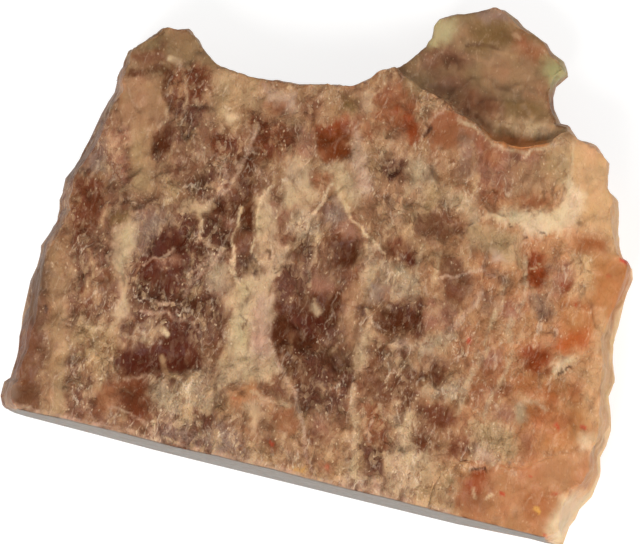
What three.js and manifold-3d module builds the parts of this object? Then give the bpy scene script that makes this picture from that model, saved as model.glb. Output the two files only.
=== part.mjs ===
// A rough sunstone slab: one broken piece of feldspar, lying on its back with its best face up.
// Units are millimetres. +Z is up, the slab rests on the XY plane, and its sawn edge runs along X.
// Everything is drawn flat first, with the sawn edge falling to the right, and is turned level at the end.
import * as THREE from "three";
import { LoftGeometry } from "three/addons/geometries/LoftGeometry.js";
import { ImprovedNoise } from "three/addons/math/ImprovedNoise.js";
import { mergeVertices } from "three/addons/utils/BufferGeometryUtils.js";
import Module from "manifold-3d";

// Driving dimensions
const FACE = 14.4; // height of the middle of the face above the resting plane
const SAWN_FALL = 13.5; // degrees that the sawn edge falls to the right in the drawing
const BELLY = 4.5; // height at which the broken walls stand out furthest
const UNDERCUT = 1.1; // how far the walls draw in from the belly to the foot
const HORN_LIFT = 3.4; // how far the underside rises below the thin right horn
const LEFT_LIFT = 4.0; // how far it rises at the left end of the sawn edge
const RIGHT_LIFT = 4.6; // how far it rises at the right end of the sawn edge
const STEP = 0.5; // height of the low cleavage steps on the face
const HORN_FLOOR = 10.9; // height of the big scar's floor below the ledge on the right horn
const LEFT_FLOOR = 12.6; // height of the trough beside the tan flake on the left horn
const LOW_FLOOR = 12.75; // height of the smooth scar above the right end of the sawn edge
const WALL_STEP = 1.7; // longest stretch of outline between two columns of the wall
const WALL_LEVELS = [-2, 0, 2.2, 4.5, 6.8, 9.2, 11.6, 14, 18]; // heights of the wall's rings
const FACE_CELL = 1.35; // grid of the face
const FLOOR_CELL = 1.5; // grid of the scar floors
const UNDER_CELL = 3.6; // grid of the underside
const SPREAD = 84; // side of the square blocks that carry the reliefs
const DEEP = 40; // how far those blocks reach past the stone
const SCAR_REACH = 5; // how far a scar's prism reaches above and below the face
const STREAK_LEAN = 12; // degrees that the cleavage streaks lean to the right of the drawing's Y

// Broken outline, clockwise from the foot of the left side: x, y, and how far the wall leans in above it.
const BROKEN = [
  [-38.9, -16.9, 1.0], [-39.3, -15.4, 1.4], [-38.9, -13.6, 1.4], [-38.2, -13.1, 1.5], [-37.4, -9.5, 1.8],
  [-36.6, -5.4, 2.0], [-35.8, -0.8, 2.0], [-34.6, 3.6, 1.9], [-33.3, 6.2, 1.7], [-32.2, 7.9, 1.6],
  [-32.4, 9.0, 1.7], [-31.6, 11.5, 1.7], [-30.5, 13.6, 1.7], [-28.6, 16.6, 1.7], [-26.9, 20.3, 1.6],
  [-26.2, 21.5, 1.5], [-25.5, 22.6, 1.4], [-25.4, 24.0, 1.2], [-24.7, 26.2, 1.1], [-24.0, 27.7, 1.0],
  [-23.2, 28.0, 0.9], [-21.2, 29.2, 0.8], [-19.6, 30.5, 0.7], [-16.2, 30.3, 0.7], [-14.9, 28.9, 0.6],
  [-13.7, 26.9, 0.5], [-12.0, 25.2, 0.4], [-9.7, 24.4, 0.4], [-7.6, 23.8, 0.4], [-5.2, 23.6, 0.4],
  [-2.7, 23.1, 0.4], [0.3, 23.4, 0.4], [3.6, 23.2, 0.4], [5.5, 23.8, 0.4], [7.1, 25.2, 0.5],
  [9.4, 25.6, 0.6], [10.6, 26.5, 0.6], [12.5, 28.0, 0.7], [13.8, 29.3, 0.7], [13.9, 31.0, 0.8],
  [14.6, 31.8, 0.9], [16.9, 32.4, 1.0], [19.5, 32.7, 1.0], [21.6, 33.4, 1.0], [22.9, 33.1, 1.0],
  [23.9, 32.3, 1.0], [25.8, 30.6, 1.0], [28.0, 28.9, 1.0], [29.0, 27.5, 1.0], [30.2, 26.5, 1.0],
  [30.8, 24.9, 0.9], [29.5, 23.5, 0.8], [29.0, 22.2, 0.7], [29.0, 20.5, 0.7], [29.8, 18.7, 0.7],
  [30.9, 18.5, 0.8], [32.0, 16.9, 0.8], [34.4, 16.1, 0.9], [35.1, 15.1, 1.0], [36.2, 13.8, 1.0],
  [36.2, 10.6, 1.0], [37.3, 9.4, 1.3], [37.4, 6.1, 1.6], [37.7, 2.4, 1.4], [38.8, 1.6, 1.2],
  [39.2, 0.7, 1.2], [39.0, -0.9, 1.3], [37.4, -4.9, 1.4], [36.5, -8.5, 1.7], [36.9, -11.5, 1.9],
  [36.7, -13.6, 1.9], [36.1, -15.0, 1.7], [36.2, -18.7, 1.6], [36.0, -20.7, 1.6], [35.1, -22.7, 1.5],
  [35.0, -24.8, 1.6], [34.0, -27.4, 2.2], [32.9, -28.3, 2.6], [32.0, -30.2, 2.4], [30.4, -33.3, 1.6],
];
// Right end of the sawn edge, and its length. The saw cut is square to the face, so it doesn't lean.
const SAWN_END = [27.7, -33.0, 0];
const SAWN_LENGTH = 66.5;

// Sunk windows of clear feldspar: x, y, half width, half height, depth.
const WINDOWS = [
  [0.6, 16.9, 2.0, 2.1, 0.7], [-28.4, 7.5, 1.6, 4.0, 0.6], [-18.5, 4.6, 2.8, 3.0, 0.8],
  [-19.4, -1.6, 3.6, 2.4, 0.9], [-18.1, -9.7, 5.6, 3.4, 0.9], [-22.5, -13.5, 3.2, 4.0, 0.7],
  [-10.4, 7.1, 1.8, 3.6, 0.7], [3.1, 2.8, 2.5, 2.4, 0.8], [-0.6, -6.6, 3.6, 4.8, 0.9],
  [10.6, 2.8, 2.1, 2.0, 0.7], [9.8, -5.7, 3.0, 1.9, 0.8], [16.5, -2.2, 2.2, 2.6, 0.5],
  [9.4, 20.0, 2.4, 3.2, 0.5], [27.0, 0.9, 1.8, 3.0, 0.6], [15.0, -12.5, 1.8, 1.8, 0.6],
  [26.5, -11.0, 2.6, 2.0, 0.4], [3.0, -18.0, 3.2, 3.0, 0.5],
];
// Raised veins of milky feldspar: x, y, half width, half height, height.
const VEINS = [
  [-7.2, 4.6, 2.2, 5.5, 0.8], [-9.0, -6.0, 2.2, 5.5, 0.8], [-10.6, -16.0, 2.4, 5.0, 0.6],
  [-25.2, -2.2, 1.8, 4.6, 0.7], [6.9, 0.9, 2.0, 4.0, 0.5], [4.4, 12.0, 3.6, 2.8, 0.5],
  [21.5, -6.5, 2.0, 4.5, 0.4], [31.5, 12.5, 2.2, 4.0, 0.3],
];

// Scars, where flakes broke off the face. Each is the edge of a flake, closed outside the stone, and
// runs counterclockwise.
const HORN_SCAR = [
  [8.1, 25.9], [10.0, 24.0], [11.5, 22.7], [13.7, 21.7], [15.6, 20.5], [16.9, 19.2], [18.7, 18.2],
  [20.0, 17.0], [21.2, 15.8], [22.9, 15.4], [24.5, 15.0], [26.2, 15.3], [28.2, 15.6], [29.6, 16.6],
  [31.2, 17.3], [34.5, 17.8], [34.5, 36.0], [6.0, 36.0],
];
const LEFT_SCAR = [
  [-27.5, 25.3], [-23.8, 25.0], [-21.2, 25.3], [-19.4, 25.2], [-19.3, 24.0], [-19.8, 22.5], [-19.5, 21.4],
  [-18.7, 20.2], [-19.4, 18.7], [-20.6, 17.1], [-21.0, 15.8], [-20.5, 14.3], [-19.3, 15.2], [-17.5, 16.5],
  [-15.2, 18.7], [-13.9, 21.0], [-12.6, 23.5], [-11.6, 26.5], [-12.0, 33.0], [-27.5, 33.0],
];
const LOW_SCAR = [
  [13.0, -37.0], [38.0, -37.0], [38.0, -22.4], [31.0, -22.8], [27.8, -23.2], [25.4, -24.4], [22.4, -24.1],
  [20.0, -23.7], [17.6, -23.9], [15.6, -24.7], [14.6, -26.2], [13.6, -29.0],
];
// Shallow bowl that a round flake left in the right shoulder.
const BOWL = { x: 24.3, y: 12.4, radius: 6.6, flatten: 0.24, bite: 1.15 };

const noise = new ImprovedNoise();
const streakTurn = THREE.MathUtils.degToRad(STREAK_LEAN);
const { smoothstep, lerp } = THREE.MathUtils;

// Smooth noise at a point, drawn out along the cleavage streaks: wide across them, long along them.
function streaks(x, y, wide, long, seed) {
  const across = x * Math.cos(streakTurn) - y * Math.sin(streakTurn);
  const along = x * Math.sin(streakTurn) + y * Math.cos(streakTurn);
  return noise.noise(across / wide, along / long, seed);
}

// Sum of soft elliptical mounds from a list of marks.
function mounds(marks, x, y) {
  let sum = 0;
  for (const [markX, markY, halfWidth, halfHeight, height] of marks) {
    const reach = Math.hypot((x - markX) / halfWidth, (y - markY) / halfHeight);
    sum += height * (1 - smoothstep(reach, 0.45, 1.35));
  }
  return sum;
}

// How far a point lies inside the line of the left rim.
function fromLeftRim(x, y) {
  const lean = THREE.MathUtils.degToRad(18.6);
  return (x + 38.5) * Math.cos(lean) - (y + 15) * Math.sin(lean);
}

// Low steps of the face, where thin sheets split away along the cleavage.
function cleavageSteps(x, y) {
  const level = 3.4 * streaks(x, y, 6.5, 12, 15.5);
  const lower = Math.floor(level);
  return STEP * (lower + smoothstep(level - lower, 0.3, 0.7));
}

// Height of the broken face.
function faceHeight(x, y) {
  const dome = 0.0006 * (x * x + y * y);
  const leftSlope = 1.5 * (1 - smoothstep(fromLeftRim(x, y), 1, 9)) ** 2;
  const rightSlope = 0.7 * smoothstep(x, 28, 38);
  const lumps = 0.5 * streaks(x, y, 6.5, 11, 1.5) + 0.6 * streaks(x, y, 2.9, 4.2, 7.5);
  const relief = cleavageSteps(x, y) + lumps + mounds(VEINS, x, y) - mounds(WINDOWS, x, y);
  return FACE - dome - leftSlope - rightSlope + relief;
}

// Floor of the big scar on the right horn: a rough shelf under the ledge, then a plane in low terraces.
function hornFloor(x, y) {
  const shoulder = 2.1 * (1 - smoothstep(x, 8, 17));
  const shelf = 0.55 * smoothstep(y - 0.06 * x, 17.4, 18.6);
  const fall = 0.2 * Math.max(0, y - 18.5);
  const terraces = 0.5 * smoothstep(y + 0.08 * x, 24.6, 25.4) + 0.45 * smoothstep(y - 0.1 * x, 26.6, 27.6);
  const ripple = 0.35 * noise.noise(x / 9, y / 2.2, 3.5);
  return HORN_FLOOR + shoulder + shelf - fall - terraces + ripple;
}

// Floor of the scar on the left horn: a trough beside the tan flake, tipping away towards the horn's point.
function leftFloor(x, y) {
  const rise = 0.9 * smoothstep(x - 0.55 * (y - 20), -20.5, -14);
  const fall = 0.22 * Math.max(0, y - 25.4);
  return LEFT_FLOOR + rise - fall + 0.3 * noise.noise(x / 3, y / 3, 9.5);
}

// Floor of the smooth scar above the right end of the sawn edge.
function lowFloor(x, y) {
  return LOW_FLOOR + 0.05 * (y + 30) + 0.22 * noise.noise(x / 5, y / 3, 12.5);
}

// Height of the underside. It is flat over most of its area, and chipped back towards the rim.
function underHeight(x, y) {
  const horn = HORN_LIFT * smoothstep(y + 0.25 * x, 25, 38) * smoothstep(x, 8, 14);
  const leftHorn = 1.6 * smoothstep(y - 0.3 * x, 28, 35);
  const leftCorner = LEFT_LIFT * smoothstep(-x - 0.5 * y, 28, 47);
  const rightCorner = RIGHT_LIFT * smoothstep(x - 0.7 * y, 34, 54);
  const chips = 1.3 * Math.max(0, noise.noise(x / 9, y / 9, 21.5) - 0.28);
  return horn + leftHorn + leftCorner + rightCorner + chips;
}

// three.js geometry to solid and back
const wasm = await Module();
wasm.setup();

function solidOf(geometry) {
  const bare = new THREE.BufferGeometry().copy(geometry);
  bare.deleteAttribute("normal");
  bare.deleteAttribute("uv");
  const merged = mergeVertices(bare, 1e-4);
  return new wasm.Manifold(
    new wasm.Mesh({
      numProp: 3,
      vertProperties: merged.attributes.position.array,
      triVerts: new Uint32Array(merged.index.array),
    }),
  );
}

function geometryOf(solid) {
  const mesh = solid.getMesh();
  const geometry = new THREE.BufferGeometry();
  geometry.setAttribute("position", new THREE.BufferAttribute(new Float32Array(mesh.vertProperties), 3));
  geometry.setIndex(new THREE.BufferAttribute(new Uint32Array(mesh.triVerts), 1));
  return geometry;
}

// A square block whose upper side (side 1) or lower side (side -1) follows height(x, y).
// The grid is shaken a little, so that its lines don't show in the broken surface.
function reliefBlock(height, cell, side) {
  const cells = Math.round(SPREAD / cell);
  const block = new THREE.BoxGeometry(SPREAD, SPREAD, 2 * DEEP, cells, cells, 1);
  const position = block.attributes.position;
  const shake = 0.55 * cell;
  for (let i = 0; i < position.count; i++) {
    const x = position.getX(i);
    const y = position.getY(i);
    if (Math.sign(position.getZ(i)) !== side) continue;
    const inside = Math.max(Math.abs(x), Math.abs(y)) < SPREAD / 2 - cell / 2;
    const shakenX = inside ? x + shake * noise.noise(x / 1.9, y / 1.9, 31.5) : x;
    const shakenY = inside ? y + shake * noise.noise(x / 1.9, y / 1.9, 47.5) : y;
    position.setXYZ(i, shakenX, shakenY, height(shakenX, shakenY));
  }
  return solidOf(block);
}

// The outline as evenly spaced columns, each with its place, its lean and the direction into the stone.
function wallColumns() {
  const fall = THREE.MathUtils.degToRad(SAWN_FALL);
  const [endX, endY] = SAWN_END;
  const start = [endX - SAWN_LENGTH * Math.cos(fall), endY + SAWN_LENGTH * Math.sin(fall), 0];
  const corners = [...BROKEN, SAWN_END, start];
  const columns = [];
  corners.forEach((from, i) => {
    const to = corners[(i + 1) % corners.length];
    const length = Math.hypot(to[0] - from[0], to[1] - from[1]);
    const pieces = Math.ceil(length / WALL_STEP);
    const sawn = from[2] === 0 && to[2] === 0;
    for (let k = 0; k < pieces; k++) {
      const [x, y, lean] = from.map((value, axis) => lerp(value, to[axis], k / pieces));
      columns.push({ x, y, lean, sawn: sawn || (k === 0 && from[2] === 0) });
    }
  });
  columns.forEach((column, i) => {
    const before = columns.at(i - 2);
    const after = columns[(i + 2) % columns.length];
    column.inward = new THREE.Vector2(after.y - before.y, before.x - after.x).normalize();
  });
  return columns;
}

// One ring of the wall. Broken columns belly out, lean in above and are rough. Sawn ones are plumb.
function wallSection(columns, z) {
  return columns.map(({ x, y, lean, sawn, inward }) => {
    if (sawn) return new THREE.Vector3(x, y, z);
    const above = lean * smoothstep(z, BELLY, FACE);
    const below = UNDERCUT * (1 - smoothstep(z, 0, BELLY));
    const rough = 0.6 * noise.noise(x / 2.6, y / 2.6, z / 3.5) + 0.9 * noise.noise(x / 7, y / 7, z / 4 + 60);
    const inset = above + below + Math.min(1, lean) * Math.max(0, rough);
    return new THREE.Vector3(x + inset * inward.x, y + inset * inward.y, z);
  });
}

function wallSolid() {
  const columns = wallColumns();
  const sections = WALL_LEVELS.map((z) => wallSection(columns, z).reverse());
  return solidOf(new LoftGeometry(sections, { capStart: true, capEnd: true }));
}

// A scar: the prism of the flake's edge, slanting outwards as it rises, above the scar's floor.
function scarSolid(edge, floor, slantX, slantY) {
  const ring = (side) => edge.map(
    ([x, y]) => new THREE.Vector3(x - side * slantX, y - side * slantY, FACE + side * SCAR_REACH),
  );
  const prism = new LoftGeometry([ring(-1), ring(1)], { capStart: true, capEnd: true });
  return solidOf(prism).intersect(reliefBlock(floor, FLOOR_CELL, -1));
}

function bowlSolid() {
  const bowl = new THREE.SphereGeometry(BOWL.radius, 28, 14);
  bowl.rotateX(Math.PI / 2);
  bowl.scale(1, 1, BOWL.flatten);
  bowl.translate(BOWL.x, BOWL.y, FACE + BOWL.radius * BOWL.flatten - BOWL.bite);
  return solidOf(bowl);
}

function stoneSolid() {
  return wallSolid()
    .intersect(reliefBlock(faceHeight, FACE_CELL, 1))
    .intersect(reliefBlock(underHeight, UNDER_CELL, -1))
    .subtract(scarSolid(HORN_SCAR, hornFloor, 0.3, 0.9))
    .subtract(scarSolid(LEFT_SCAR, leftFloor, 0.5, 0.3))
    .subtract(scarSolid(LOW_SCAR, lowFloor, 0, -0.4))
    .subtract(bowlSolid());
}

// Turns the drawing level and puts the middle of its box over the origin.
function levelled(geometry) {
  geometry.rotateZ(THREE.MathUtils.degToRad(SAWN_FALL));
  geometry.computeBoundingBox();
  const { min, max } = geometry.boundingBox;
  return geometry.translate(-(min.x + max.x) / 2, -(min.y + max.y) / 2, -min.z);
}

const feldspar = new THREE.MeshStandardMaterial({ color: 0xa9744f, roughness: 0.45, metalness: 0 });
const sunstone = new THREE.Mesh(levelled(geometryOf(stoneSolid())), feldspar);
sunstone.name = "sunstone";

const part = new THREE.Group();
part.add(sunstone);

export default part;
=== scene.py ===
"""Looks of a rough sunstone slab: broken feldspar, clear red-brown windows, milky veils, a sawn edge.

The slab lies on its back. The CAD solid gives its outline, ledges, scars and bowl. This script cuts a
fine skin out of a copy of that solid, paints on it where each kind of feldspar shows, with painted shade
and highlights at a few ledges and ridges, painted glints where it is much broken and a painted glow on
the thin right edge, and breaks it into small cleavage facets. The light is soft: a key light at the lower
left of the picture, and a low fill at the right, which brightens the thin right edge.
"""

import itertools
import logging
import math
from dataclasses import dataclass, field
from enum import Enum

import bpy
import numpy as np
from mathutils import Matrix, Vector


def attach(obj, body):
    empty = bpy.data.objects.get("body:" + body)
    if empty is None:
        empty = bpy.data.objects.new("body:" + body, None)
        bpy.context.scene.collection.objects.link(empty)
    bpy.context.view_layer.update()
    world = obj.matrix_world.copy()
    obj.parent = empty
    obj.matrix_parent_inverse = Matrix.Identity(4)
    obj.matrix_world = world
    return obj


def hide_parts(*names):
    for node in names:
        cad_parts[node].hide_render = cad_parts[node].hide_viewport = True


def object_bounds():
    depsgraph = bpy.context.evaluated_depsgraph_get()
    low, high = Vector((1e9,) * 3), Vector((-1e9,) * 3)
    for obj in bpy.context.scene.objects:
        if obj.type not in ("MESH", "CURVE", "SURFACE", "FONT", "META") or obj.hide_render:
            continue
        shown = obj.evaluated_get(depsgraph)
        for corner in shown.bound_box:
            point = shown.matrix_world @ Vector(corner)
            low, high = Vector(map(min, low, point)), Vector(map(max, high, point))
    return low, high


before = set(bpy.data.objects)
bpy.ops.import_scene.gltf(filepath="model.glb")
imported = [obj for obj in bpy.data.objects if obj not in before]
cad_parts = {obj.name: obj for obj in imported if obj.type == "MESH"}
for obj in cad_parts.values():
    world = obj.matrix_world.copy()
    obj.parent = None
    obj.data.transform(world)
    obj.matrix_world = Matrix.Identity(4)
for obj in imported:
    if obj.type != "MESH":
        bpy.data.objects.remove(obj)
cad_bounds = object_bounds()

log = logging.getLogger("sunstone")

# Lengths in this file are millimetres until they reach a mesh, a light or the camera.
MM = 0.001

# The markings are placed in the drawing plane, which is turned so that the sawn edge falls to the
# right, as in the picture, and is drawn a little larger than life. DRAWING_SHIFT is where the
# drawing's middle lies in the part's own frame. STREAK_LEAN is how far the stone's cleavage streaks
# lean away from upright in the drawing.
DRAWING_TURN = math.radians(13.8)
DRAWING_SHIFT = (-2.345, -6.397)
DRAWING_SCALE = 1.0167
STREAK_LEAN = math.radians(12.0)

# The sawn edge lies this far in front of the part's middle, towards -Y.
SAWN_SIDE = 31.5766

# Noise and facets pick their numbers from tables of this many rows, which is a power of two.
TABLE_ROWS = 256
# These bring one noise, and one with finer noises added, to a range of about -1 to 1.
NOISE_GAIN = 1.7
LAYERED_RANGE = 1.4
# A facet is set at most this many millimetres above or below the others, besides its tilt.
FACET_STEP = 0.04
# A border of softness 1 fades over this distance to each side.
SOFT_REACH = 2.4
# A vein covers best out to the first share of its half width, and ends at the second.
VEIN_SIDES = (0.45, 1.25)

# A row of corners in the drawing plane.
Outline = tuple[tuple[float, float], ...]


class Tone(Enum):
    """Colours that the feldspar shows, from its clear depths to its milky veils and thin edges, and a
    pale tone that paints a glow on the thin right edge.
    """

    SHADOW = "#4e260e"
    MAROON = "#702c10"
    UMBER = "#683619"
    CHESTNUT = "#6f340f"
    RUST = "#8c4110"
    WALNUT = "#6e452a"
    REDWOOD = "#864524"
    MAUVE_BROWN = "#784732"
    BROWN = "#885537"
    OLIVE_BROWN = "#8a683e"
    HORN = "#9c7b58"
    SIDE = "#7c5a42"
    LEATHER = "#92654a"
    TERRACOTTA = "#a26440"
    ROSE_BROWN = "#a26e55"
    GREY_BROWN = "#987967"
    MAUVE = "#9b745c"
    TAN = "#a97f5c"
    SAND = "#b08d67"
    CREAM = "#bd9e7c"
    PALE_CREAM = "#d8bc98"
    # Painted glow: paler than the edge's own colour, standing in for light that shines through the thin
    # right edge.
    THIN_EDGE = "#f0c894"
    PINK_CREAM = "#ba977e"
    GREY_CREAM = "#ac9174"
    BURNT_ORANGE = "#a04818"
    ORANGE = "#b06838"
    BRIGHT_ORANGE = "#bd6028"
    AMBER = "#bc7c4a"
    PEACH = "#bb8258"
    APRICOT = "#cba074"
    HONEY = "#d09a48"
    OAT = "#bfa680"
    GREEN_CREAM = "#b4a47a"
    GREEN = "#aaa070"
    PLATELET = "#c8452a"
    VEIL = "#d0aa80"
    DEPTH = "#5c2c14"

    def rgb(self) -> np.ndarray:
        """Gives the tone as linear red, green and blue."""
        return np.array(linear(self.value)[:3])


def linear(hex_colour: str) -> tuple[float, float, float, float]:
    """Turns an sRGB hex colour into linear RGBA.

    Args:
        hex_colour: Six hex digits, with or without a leading #.

    Returns:
        The linear red, green, blue and an alpha of 1.
    """
    digits = hex_colour.lstrip("#")
    channels = [int(digits[i : i + 2], 16) / 255 for i in (0, 2, 4)]
    red, green, blue = (c / 12.92 if c <= 0.04045 else ((c + 0.055) / 1.055) ** 2.4 for c in channels)
    return (red, green, blue, 1.0)


def blend(tone: np.ndarray, other: np.ndarray, share: np.ndarray) -> np.ndarray:
    """Mixes one set of tones into another by each vertex's share, from 0 to 1."""
    return tone + share[:, None] * (other - tone)


def smoothstep(low: float, high: float, values: np.ndarray) -> np.ndarray:
    """Rises smoothly from 0 at low to 1 at high, or falls where low is above high."""
    t = np.clip((values - low) / (high - low), 0.0, 1.0)
    return t * t * (3.0 - 2.0 * t)


def table_rows(shuffle: np.ndarray, lattice: np.ndarray) -> np.ndarray:
    """Picks a row of a table for each place on a lattice, always the same one for the same place.

    Args:
        shuffle: The rows' numbers in mixed order.
        lattice: Whole numbers, n by 3.

    Returns:
        One row number for each place.
    """
    last = TABLE_ROWS - 1
    x, y, z = (lattice & last).T
    return shuffle[(shuffle[(shuffle[x] + y) & last] + z) & last]


def gradient_noise(points: np.ndarray, size: float | tuple[float, ...], seed: int) -> np.ndarray:
    """Smooth noise with no grain of its own, the same at each run.

    Args:
        points: Places, n by 3, in millimetres.
        size: Width of its lumps, alike all ways or one for each axis.
        seed: Which field of noise is meant.

    Returns:
        One value for each point, between about -1 and 1.
    """
    rng = np.random.default_rng(seed)
    shuffle = rng.permutation(TABLE_ROWS)
    gradients = rng.normal(size=(TABLE_ROWS, 3))
    gradients /= np.linalg.norm(gradients, axis=1)[:, None]
    scaled = points / np.asarray(size, dtype=float)
    cell = np.floor(scaled).astype(np.int64)
    offset = scaled - cell
    fade = offset**3 * (offset * (offset * 6.0 - 15.0) + 10.0)
    total = np.zeros(len(points))
    for corner in itertools.product((0, 1), repeat=3):
        pick = table_rows(shuffle, cell + corner)
        push = np.einsum("ij,ij->i", gradients[pick], offset - corner)
        weight = np.prod(np.where(np.array(corner) == 1, fade, 1.0 - fade), axis=1)
        total += weight * push
    return np.clip(total * NOISE_GAIN, -1.0, 1.0)


def rough_noise(points: np.ndarray, size: tuple[float, ...], seed: int, layers: int = 3) -> np.ndarray:
    """Adds finer and finer noises, each half as strong as the last.

    Args:
        points: Places, n by 3, in millimetres.
        size: Width of the largest lumps along each axis.
        seed: Which field of noise is meant.
        layers: How many noises are added.

    Returns:
        One value for each point, mostly between -1 and 1.
    """
    total = np.zeros(len(points))
    for layer in range(layers):
        finer = tuple(length / 2.0**layer for length in size)
        total += gradient_noise(points, finer, seed + layer) / 2.0**layer
    return total / LAYERED_RANGE


def broken_facets(
    points: np.ndarray, size: tuple[float, ...], tilt: float, seed: int, crisp: float = 9.0
) -> tuple[np.ndarray, np.ndarray]:
    """Height of small flat facets that run into each other, as on broken feldspar.

    Args:
        points: Places, n by 3, in millimetres.
        size: Width of a facet along each axis, in millimetres.
        tilt: Most that a facet rises per millimetre.
        seed: Which set of facets is meant.
        crisp: How sharply they meet.

    Returns:
        One height in millimetres for each point, and a number from -1 to 1 that is nearly the same all
        over a facet.
    """
    rng = np.random.default_rng(seed)
    shuffle = rng.permutation(TABLE_ROWS)
    jitter = rng.uniform(0.1, 0.9, size=(TABLE_ROWS, 3))
    slopes = rng.uniform(-tilt, tilt, size=(TABLE_ROWS, 3))
    steps = rng.uniform(-FACET_STEP, FACET_STEP, size=TABLE_ROWS)
    shades = rng.uniform(-1.0, 1.0, size=TABLE_ROWS)
    scaled = points / np.asarray(size)
    cell = np.floor(scaled).astype(np.int64)
    weights = np.full(len(points), 1e-9)
    height = np.zeros(len(points))
    shade = np.zeros(len(points))
    for corner in itertools.product((-1, 0, 1), repeat=3):
        lattice = cell + corner
        pick = table_rows(shuffle, lattice)
        away = scaled - lattice - jitter[pick]
        weight = np.exp(-crisp * np.einsum("ij,ij->i", away, away))
        weights += weight
        height += weight * (np.einsum("ij,ij->i", away * np.asarray(size), slopes[pick]) + steps[pick])
        shade += weight * shades[pick]
    return height / weights, shade / weights


def path_distance(path: Outline, across: np.ndarray, up: np.ndarray) -> np.ndarray:
    """Tells how far each place is from a path.

    Args:
        path: The path's corners.
        across: The places' x in the drawing plane.
        up: Their y.

    Returns:
        One distance for each place, in millimetres.
    """
    nearest = np.full(len(across), np.inf)
    for (ax, ay), (bx, by) in itertools.pairwise(path):
        ex, ey = bx - ax, by - ay
        along = np.clip(((across - ax) * ex + (up - ay) * ey) / (ex * ex + ey * ey), 0.0, 1.0)
        nearest = np.minimum(nearest, np.hypot(across - ax - along * ex, up - ay - along * ey))
    return nearest


def outline_distance(outline: Outline, across: np.ndarray, up: np.ndarray) -> np.ndarray:
    """Tells how far each place is outside an outline.

    Args:
        outline: The outline's corners.
        across: The places' x in the drawing plane.
        up: Their y.

    Returns:
        One distance for each place, in millimetres, below 0 for inside.
    """
    closed = (*outline, outline[0])
    inside = np.zeros(len(across), dtype=bool)
    for (ax, ay), (bx, by) in itertools.pairwise(closed):
        if ay != by:
            crossing = ax + (up - ay) / (by - ay) * (bx - ax)
            inside ^= ((ay > up) != (by > up)) & (across < crossing)
    return path_distance(closed, across, up) * np.where(inside, -1.0, 1.0)


@dataclass(frozen=True)
class Blot:
    """An area of one tone: its outline, how finely broken it is (0 to 1) and how soft its border is."""

    tone: Tone
    outline: Outline
    broken: float = 0.5
    soft: float = 0.3

    def weight(self, across: np.ndarray, up: np.ndarray) -> np.ndarray:
        """Gives 1 inside the area, 0 outside, and a soft step along its border."""
        away = outline_distance(self.outline, across, up) / SOFT_REACH
        return smoothstep(self.soft, -self.soft, away)

    def reach(self) -> float:
        """Tells how far outside its outline the area still shows, in millimetres."""
        return SOFT_REACH * self.soft


@dataclass(frozen=True)
class Vein:
    """A line of one tone: its path, half its width in millimetres and how well it covers."""

    tone: Tone
    path: Outline
    wide: float = 0.3
    much: float = 0.75

    def weight(self, across: np.ndarray, up: np.ndarray) -> np.ndarray:
        """Gives the vein's cover along its path, falling to 0 at its sides."""
        core, rim = (self.wide * share for share in VEIN_SIDES)
        return self.much * smoothstep(rim, core, path_distance(self.path, across, up))

    def reach(self) -> float:
        """Tells how far from its path the vein still shows, in millimetres."""
        return self.wide * VEIN_SIDES[1]


# Wide soft areas that lie under all else, from left to right
GROUNDS = (
    Blot(Tone.LEATHER, ((-42, 34), (-9, 34), (-9, -26), (-42, -26)), 0.6, 3.0),
    Blot(Tone.TAN, ((6, 26), (20, 20), (20, -34), (7, -32), (9, -12), (6, 0)), 0.6, 3.0),
    Blot(Tone.TAN, ((-14, 26), (14, 26), (13, 7), (-1, 9), (-12, 15)), 0.6, 1.6),
    Blot(Tone.TAN, ((-14, -13), (-4, -15), (2, -18), (12, -18), (18, -36), (-16, -26)), 0.7, 2.0),
    Blot(Tone.PEACH, ((22, 18), (42, 18), (42, -36), (22, -36), (18, -20), (19, 0)), 0.55, 4.0),
    Blot(Tone.APRICOT, ((31, 18), (42, 18), (42, -36), (33, -36), (32.5, -20), (34, -8),
                        (31, 4)), 0.35, 2.0),
    Blot(Tone.HORN, ((12, 24), (13, 36), (34, 36), (31, 19), (24, 19), (18, 22)), 0.15, 0.5),
)

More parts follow.
